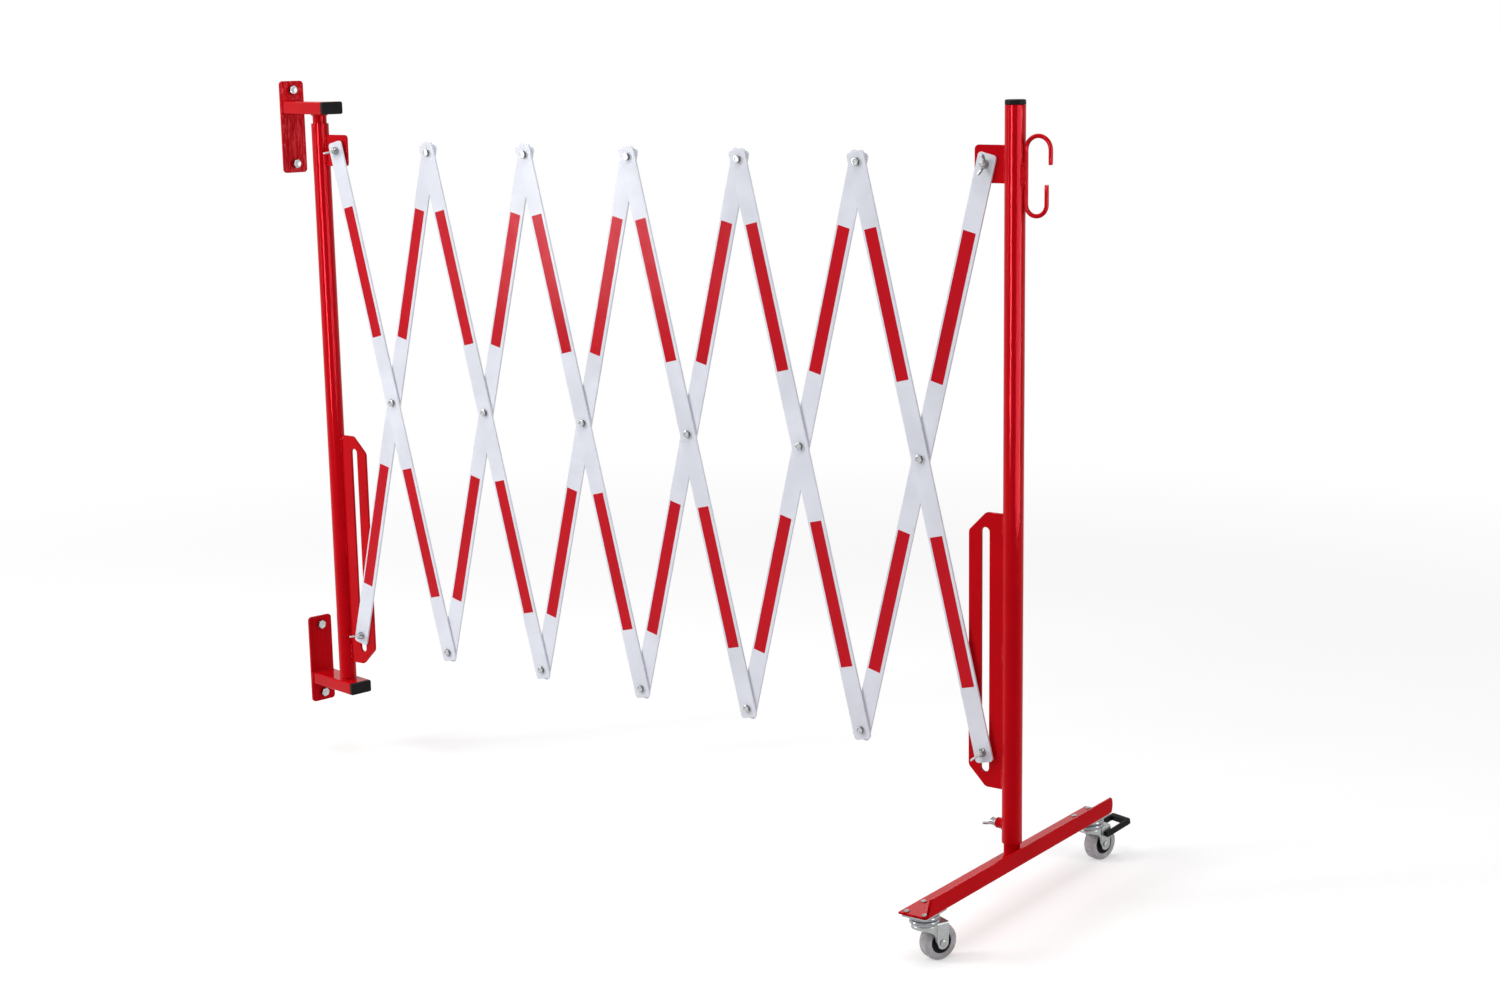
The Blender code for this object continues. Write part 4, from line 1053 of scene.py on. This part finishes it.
# Foot: a folded angle with its stub
foot = {
    "length": 0.510,
    "width": 0.045,
    "height": 0.025,
    "wall": 0.003,
    "low": 0.0697,
    "bend": 0.0038,
    # how far each end is cut back, and its shares by share of height
    "nearEnd": (0.016, ((0.0, 0.05), (0.30, 0.20), (0.45, 0.36), (1.0, 1.0))),
    "farEnd": (0.0055, ((0.0, 0.85), (0.12, 0.50), (0.30, 0.14), (0.50, 0.0), (0.72, 0.05),
                        (0.86, 0.25), (0.95, 0.55), (1.0, 0.95))),
    "corner": 0.012,
    "stub": (0.0112, 0.0092, 0.110),
    "weld": 0.0016,
    "soft": 0.0005,
}


# a strip folded to an L: pairs of outer and inner points, swept along the foot
def makeFoot():
    half, wall, tall, bend = foot["width"] / 2, foot["wall"], foot["height"], foot["bend"]
    flats = [-half, 0] + [half - bend - foot["corner"] * share for share in (0.6, 0.4, 0.2)]
    outer = [(across, 0) for across in flats] + arc((half - bend, bend), bend, -90, 0, 6)
    inner = [(across, wall) for across in flats]
    inner += arc((half - bend, bend), bend - wall, -90, 0, 6)
    for step in range(1, 9):
        up = bend + (tall - bend) * step / 8
        outer.append((half, up))
        inner.append((half - wall, up))
    work = bmesh.new()

    def column(points, end):
        rake, shape = foot["nearEnd"] if end < 0 else foot["farEnd"]
        column = []
        for across, up in points:
            near = max(0.0, 1 - (half - across) / foot["corner"])
            back = rake * near ** 2 * curveBetween(shape, max(0, up) / tall)
            column.append(work.verts.new((across, end * (foot["length"] / 2 - back), up)))
        return column

    outside = [column(outer, end) for end in (-1, 1)]
    inside = [column(inner, end) for end in (-1, 1)]
    for first, second in (outside, inside, *zip(outside, inside)):
        bridge(work, first, second)
    for index in (0, -1):
        bridge(work, [row[index] for row in outside], [row[index] for row in inside])
    # painted shade: the ends are marked for the darker edge colour
    angle = markEdges(finished(work), lambda normal: 1.0 if abs(normal.y) > 0.5 else 0.0)
    radius, bore, length = foot["stub"]
    stub = makeTube(radius, bore, wall - 0.001, wall + length)
    ring = [(x, y, wall + 0.0001) for x, y in circle((0, 0), radius + 0.0005, 60)]
    mesh = together([angle, stub, weldBead(ring, foot["weld"], True)])
    piece = addPiece("footAngle", mesh, "footRed", "foot", moved(mobileX, 0, foot["low"]),
                     ["foot"])
    softenEdges(piece, foot["soft"])


makeFoot()
print("foot made")

# Castors
castor = {
    # each one's place along the foot and its heading
    "spots": {"near": (-0.227, 66), "far": (0.227, 74)},
    "trail": 0.021,
    "wheel": 0.025,
    "wheelWidth": 0.019,
    "shoulder": 0.0045,
    "hubFace": [(0.0033, 0.0104), (0.0045, 0.0104), (0.0050, 0.0100), (0.0053, 0.0078),
                (0.0060, 0.0070), (0.0118, 0.0066), (0.0124, 0.0070), (0.0130, 0.0082),
                (0.0142, 0.0085), (0.0150, 0.0081)],
    "plate": (0.038, 0.054, 0.0025),
    "plateCorner": 0.003,
    "plateLow": 0.0669,
    # each race's foot, bore and rim, as insets from the race's radius and rises
    "race": 0.0203,
    "upper": (0.0603, 0, ((0.0030, 0), (0.0014, 0.0004), (0.0003, 0.0014), (0, 0.0026),
                          (0.0002, 0.0040), (0.0012, 0.0054), (0.0030, 0.0063),
                          (0.0050, 0.0066))),
    "lower": (0.0530, 0.0043, ((0.0028, 0), (0.0012, 0.0012), (0.0001, 0.0030), (0, 0.0044),
                               (0.0003, 0.0056), (0.0012, 0.0066), (0.0026, 0.0070))),
    "rivets": (0.028, 0.042),
    "rivet": ((0, -0.0045), (0.0025, -0.0045), (0.0025, 0), (0.0040, 0), (0.0042, 0.0003),
              (0.0040, 0.0010), (0.0034, 0.0013), (0.0026, 0.0014), (0.0022, 0.0011),
              (0.0018, 0.0009), (0.0012, 0.0011), (0, 0.0012)),
    "kingPin": ((0, 0.0488), (0.0058, 0.0488), (0.0065, 0.0495), (0.0065, 0.0508),
                (0.0062, 0.0512), (0.004, 0.0512), (0.004, 0.062), (0, 0.062)),
    # the axle, and what stands out past each leg
    "axle": 0.003,
    "axleFoot": ((0, -0.0022), (0.0032, -0.0022), (0.0046, -0.0012), (0.0048, 0)),
    "axleHead": ((0.0048, 0), (0.0046, 0.0012), (0.0034, 0.0021), (0.0022, 0.0022),
                 (0.0016, 0.0016), (0, 0.0015)),
    "legPlace": 0.0117,
    "legEnd": 0.0085,
    "cup": 0.0166,
    "crown": 0.0534,
    "bend": 0.0026,
    "sheetHalf": 0.001,
    "sheetSoft": 0.0003,
    "rear": 0.0305,
    "rearSlant": 0.0005,
    "rearEdge": (0.0455, 0.0350),
    "skirt": ((0.0134, 0.0222), (0.0118, 0.0262), (0.0094, 0.0318), (0.0062, 0.0376),
              (0.0022, 0.0424), (-0.0035, 0.0459), (-0.0100, 0.0476), (-0.0178, 0.0484)),
}


def castorPlace(label):
    spot, heading = castor["spots"][label]
    return moved(mobileX, spot) @ spun(heading, "Z")


def makeRace(level, label, body, place):
    low, bore, rim = castor[level]
    levels = [(castor["race"] - inset, low + rise) for inset, rise in rim]
    levels = [(bore, low), *levels, (bore, levels[-1][1])]
    # painted shade on the race's upright bands
    race = paintUprightShade(turned(levels, 80, hollow=bore > 0), 0.8)
    addPiece(f"{level}Race{label.title()}", race, "race", body, place)


def makeCastorPlate(label):
    wide, long, thick = castor["plate"]
    shapes = [(flatPlate([panel(wide, long, castor["plateCorner"])], thick, 0.0004),
               moved(0, 0, castor["plateLow"] + thick / 2))]
    rivetAcross, rivetAlong = castor["rivets"]
    top = foot["low"] + foot["wall"] + gap
    # painted shade on the rivet's upright faces
    rivet = paintUprightShade(turned(castor["rivet"], 28), 0.35)
    for across in (-1, 1):
        for along in (-1, 1):
            shapes.append((rivet, moved(across * rivetAcross / 2, along * rivetAlong / 2, top)))
    shapes.append(turned(castor["kingPin"], 32))
    place = moved(mobileX, castor["spots"][label][0])
    replaceNode(f"castor_plate_{label}", together(shapes), "fork", "foot", place)
    makeRace("upper", label, "foot", place)


# one sheet of metal drawn round the wheel: two legs, a round nose and a crown
def makeForkSheet():
    axle = (castor["trail"], castor["wheel"])
    legY, cup, crown, bend, half = (castor[key] for key in
                                    ("legPlace", "cup", "crown", "bend", "sheetHalf"))
    # plan view of one side from the rear of the leg to the nose, with its lower edge
    high, low = castor["rearEdge"]
    plan = [((castor["rear"], legY), high), ((castor["rear"] - castor["rearSlant"], legY), low)]
    plan += [((x, legY), z) for x, z in arc(axle, castor["legEnd"], 0, -140, 22)]
    skirt = [(plan[-1][0][0], plan[-1][1]), *castor["skirt"]]
    crease = math.degrees(math.asin(legY / cup))
    plan += [((x, y), curveBetween(skirt, x)) for x, y in arc((0, 0), cup, crease, 180, 30)]
    plan += [((x, -y), z) for (x, y), z in reversed(plan[:-1])]
    count = len(plan)
    inward = []
    for index in range(count):
        before = Vector(plan[max(index - 1, 0)][0])
        after = Vector(plan[min(index + 1, count - 1)][0])
        along = (after - before).normalized()
        inward.append(Vector((-along.y, along.x)))
    work = bmesh.new()
    sheets = []
    for face in (-1, 1):
        radius = bend if face < 0 else bend - 2 * half
        rows = [[(face * half, z + (crown - bend - z) * step / 6) for _, z in plan]
                for step in range(7)]
        for step in range(1, 7):
            turn = math.radians(15 * step)
            rows.append([(bend - half - radius * math.cos(turn),
                          crown - bend + radius * math.sin(turn))] * count)
        sheets.append([[work.verts.new((x + inset * inward[index].x, y + inset * inward[index].y,
                                        z))
                        for index, (((x, y), _), (inset, z)) in enumerate(zip(plan, row))]
                       for row in rows])
    outer, inner = sheets
    for sheet in sheets:
        for low, high in zip(sheet, sheet[1:]):
            bridge(work, low, high)
        work.faces.new(sheet[-1])
    bridge(work, outer[0], inner[0])
    for index in (0, -1):
        bridge(work, [row[index] for row in outer], [row[index] for row in inner])
    work.faces.new((outer[-1][0], outer[-1][-1], inner[-1][-1], inner[-1][0]))
    return finished(work)


def makeFork(label):
    place, body = castorPlace(label), f"castor_fork_{label}"
    softenEdges(replaceNode(body, makeForkSheet(), "fork", body, place), castor["sheetSoft"])
    makeRace("lower", label, body, place)
    reach = castor["legPlace"] + castor["sheetHalf"]
    rod = [(radius, up - reach) for radius, up in castor["axleFoot"]]
    rod += [(castor["axle"], -reach), (castor["axle"], reach)]
    rod += [(radius, up + reach) for radius, up in castor["axleHead"]]
    axlePlace = place @ moved(castor["trail"], 0, castor["wheel"]) @ toFront
    # painted shade on the axle's upright faces
    addPiece(f"castorAxle{label.title()}", paintUprightShade(turned(rod, 36), 0.9), "fork", body, axlePlace)
    makeWheel(label, axlePlace)


def makeWheel(label, place):
    radius, half, soft = castor["wheel"], castor["wheelWidth"] / 2, castor["shoulder"]
    seat = castor["hubFace"][-1][0] + gap
    tread = arc((radius - soft - 0.0001, half - soft), soft, 0, 90, 10)
    tread[0] = (radius, half - soft)
    lip = [(seat + 0.0022, half - 0.0001), (seat + 0.0012, half - 0.0004),
           (seat, half - 0.0008)]
    for name, profile, steps in (("tyre", tread + lip, 120), ("hub", castor["hubFace"], 72)):
        replaceNode(f"{name}_{label}", turned(bothWays(profile), steps, hollow=True), name,
                    f"wheel_{label}", place)


pedal = {"arm": (0.0130, 0.0178), "depth": 0.0085, "reach": 0.043, "rise": 0.0095,
         "pad": 0.0095, "padCorner": 0.003, "pivot": 0.041, "grain": 0.0005, "ridges": 3,
         "ridgeStart": 0.0028, "ridgeStep": 0.0026, "ridge": 0.0005,
         "stud": ((0, -0.0014), (0.0022, -0.0014), (0.0022, 0.0034), (0, 0.0034))}


# two arms and a cross pad in one moulding
def makePedal():
    inner, outer = pedal["arm"]
    slope = math.degrees(math.atan2(pedal["rise"], pedal["reach"]))
    long = math.hypot(pedal["reach"], pedal["rise"])
    deep = pedal["depth"]
    rim = (arc((0, 0), deep / 2, 90, 270, 14)
           + roundCorners(rectangle(long * 0.5, -deep / 2, long + 0.001, deep / 2),
                          [0, 0.002, 0.002, 0], 4))
    arm = flatPlate([rim], outer - inner, 0.001, 3)
    half = pedal["pad"] / 2
    outline = roundCorners(rectangle(long - half, -outer, long + half - 0.0004, outer),
                           pedal["padCorner"])
    shapes = [flatPlate([outline], deep, 0.0012, 3)]
    stud = turned(pedal["stud"], 24)
    for side in (-1, 1):
        shapes += [(arm, moved(0, side * (inner + outer) / 2) @ toFront),
                   (stud, moved(0, side * castor["legPlace"]) @ toFront)]
    shapes = [melted(shapes, pedal["grain"], 4)]
    for ridge in range(pedal["ridges"]):
        x = long - pedal["ridgeStart"] + pedal["ridgeStep"] * ridge
        path = [(x, y * 0.0011, deep / 2 - 0.0002) for y in range(-13, 14)]
        shapes.append(sweep(path, pedal["ridge"], 10))
    place = castorPlace("far") @ moved(castor["trail"], 0, pedal["pivot"]) @ spun(-slope, "Y")
    replaceNode("brake_pedal", together(shapes), "black", "brake_pedal", place)


for castorLabel in castor["spots"]:
    makeCastorPlate(castorLabel)
    makeFork(castorLabel)
makePedal()
print("castors made")


# Studio: pale floor, white surround and soft lamps, all clear of the opened lattice
studio = {
    "floorSize": 20,
    "floorMiddle": (0.75, 0.12),
    "floorColour": 0.80,
    "floorLift": 0.40,
    "fade": (0.9, 3.4),
    "ambient": 0.30,
    # place, target, width and height, how bright its face is, and the painted pieces that
    # it only puts gloss on
    "lamps": {
        "keyLamp": ((-1.60, -3.00, 2.60), (0.60, 0.10, 0.45), (1.6, 1.2), 11.0, ()),
        "sideLamp": ((-1.15, -3.00, 1.10), (0.70, 0.10, 0.60), (0.6, 1.7), 8.0, ()),
        "endLamp": ((4.90, 1.42, 1.35), (1.30, 0.22, 0.50), (1.4, 2.9), 3.2, ()),
        "topLamp": ((1.00, -0.40, 3.40), (0.80, 0.10, 0.00), (2.8, 2.0), 2.7, ()),
        "stripLamp": ((1.36, -3.30, 1.00), (1.20, 0.15, 0.50), (0.7, 2.3), 125.0,
                      ("wallPost", "mobilePost")),
        "rimLamp": ((2.80, 0.15, 1.05), (1.30, 0.22, 0.95), (1.6, 2.0), 28.0,
                    ("wallPost", "mobilePost", "wallBracketUpper")),
        "plateLamp": ((2.55, 1.75, 0.80), (0.0, 0.0, 0.90), (0.14, 0.9), 42.0,
                      ("wallPlateUpper",)),
        "backLamp": ((-1.20, 2.60, 0.80), (1.36, 0.22, 0.0), (2.4, 1.4), 4.0, ("footAngle",)),
    },
}


# 1 for camera, gloss and see-through rays, and 0 for those that light the barrier
def backgroundRays(tree):
    path = addNode(tree, "LightPath")
    total = path.outputs["Is Camera Ray"]
    for name in ("Is Glossy Ray", "Is Transmission Ray"):
        either = addNode(tree, "Math", {0: total, 1: path.outputs[name]}, operation="MAXIMUM")
        total = either.outputs[0]
    return total


def makeWorld():
    world = bpy.data.worlds.new("studio")
    bpy.context.scene.world = world
    world.use_nodes = True
    tree = world.node_tree
    strength = addNode(tree, "MapRange", {"Value": backgroundRays(tree),
                                          "To Min": studio["ambient"], "To Max": 1.0})
    feed(tree, tree.nodes["Background"], {"Color": (1, 1, 1, 1), "Strength": strength.outputs[0]})


# pale floor that fades to the white surround away from the barrier
def makeFloor():
    work = bmesh.new()
    bmesh.ops.create_grid(work, x_segments=8, y_segments=8, size=studio["floorSize"])
    floor = linked("studioFloor", finished(work))
    floor.location = (*studio["floorMiddle"], cadBox[0][2])
    finish = Finish("paleFloor", [studio["floorColour"]] * 3, 0.9, specular=0.0)
    rays = backgroundRays(finish.tree)
    lift = finish.node("Math", {0: rays, 1: studio["floorLift"]}, operation="MULTIPLY")
    glow = finish.node("Emission", {"Strength": lift.outputs[0]})
    near = finish.node("AddShader", {0: finish.shader.outputs[0], 1: glow.outputs[0]})
    length = finish.node("VectorMath", {0: finish.place}, operation="LENGTH")
    start, end = studio["fade"]
    fade = finish.node("MapRange", {"Value": length.outputs["Value"], "From Min": start,
                                    "From Max": end}, interpolation_type="SMOOTHSTEP")
    mix = finish.node("MixShader", {0: finish.times(fade.outputs[0], rays), 1: near.outputs[0],
                                    2: finish.node("Emission").outputs[0]})
    feed(finish.tree, finish.tree.nodes["Material Output"], {"Surface": mix.outputs[0]})
    floor.data.materials.append(finish.material)


def makeLamps():
    for name, (place, target, size, glow, glossOn) in studio["lamps"].items():
        lamp = bpy.data.lights.new(name, "AREA")
        lamp.shape = "RECTANGLE"
        lamp.size, lamp.size_y = size
        lamp.energy = glow * math.pi * size[0] * size[1]
        holder = linked(name, lamp)
        holder.location = place
        aim = Vector(target) - Vector(place)
        holder.rotation_euler = aim.to_track_quat("-Z", "Y").to_euler()
        holder.visible_camera = False
        if glossOn:
            holder.visible_diffuse = False
            painted = bpy.data.collections.new(name + "Pieces")
            for piece in glossOn:
                painted.objects.link(bpy.data.objects[piece])
            holder.light_linking.receiver_collection = painted


makeWorld()
makeFloor()
makeLamps()
bpy.context.scene.view_settings.view_transform = "Standard"
print("studio lit")

bpy.context.view_layer.update()
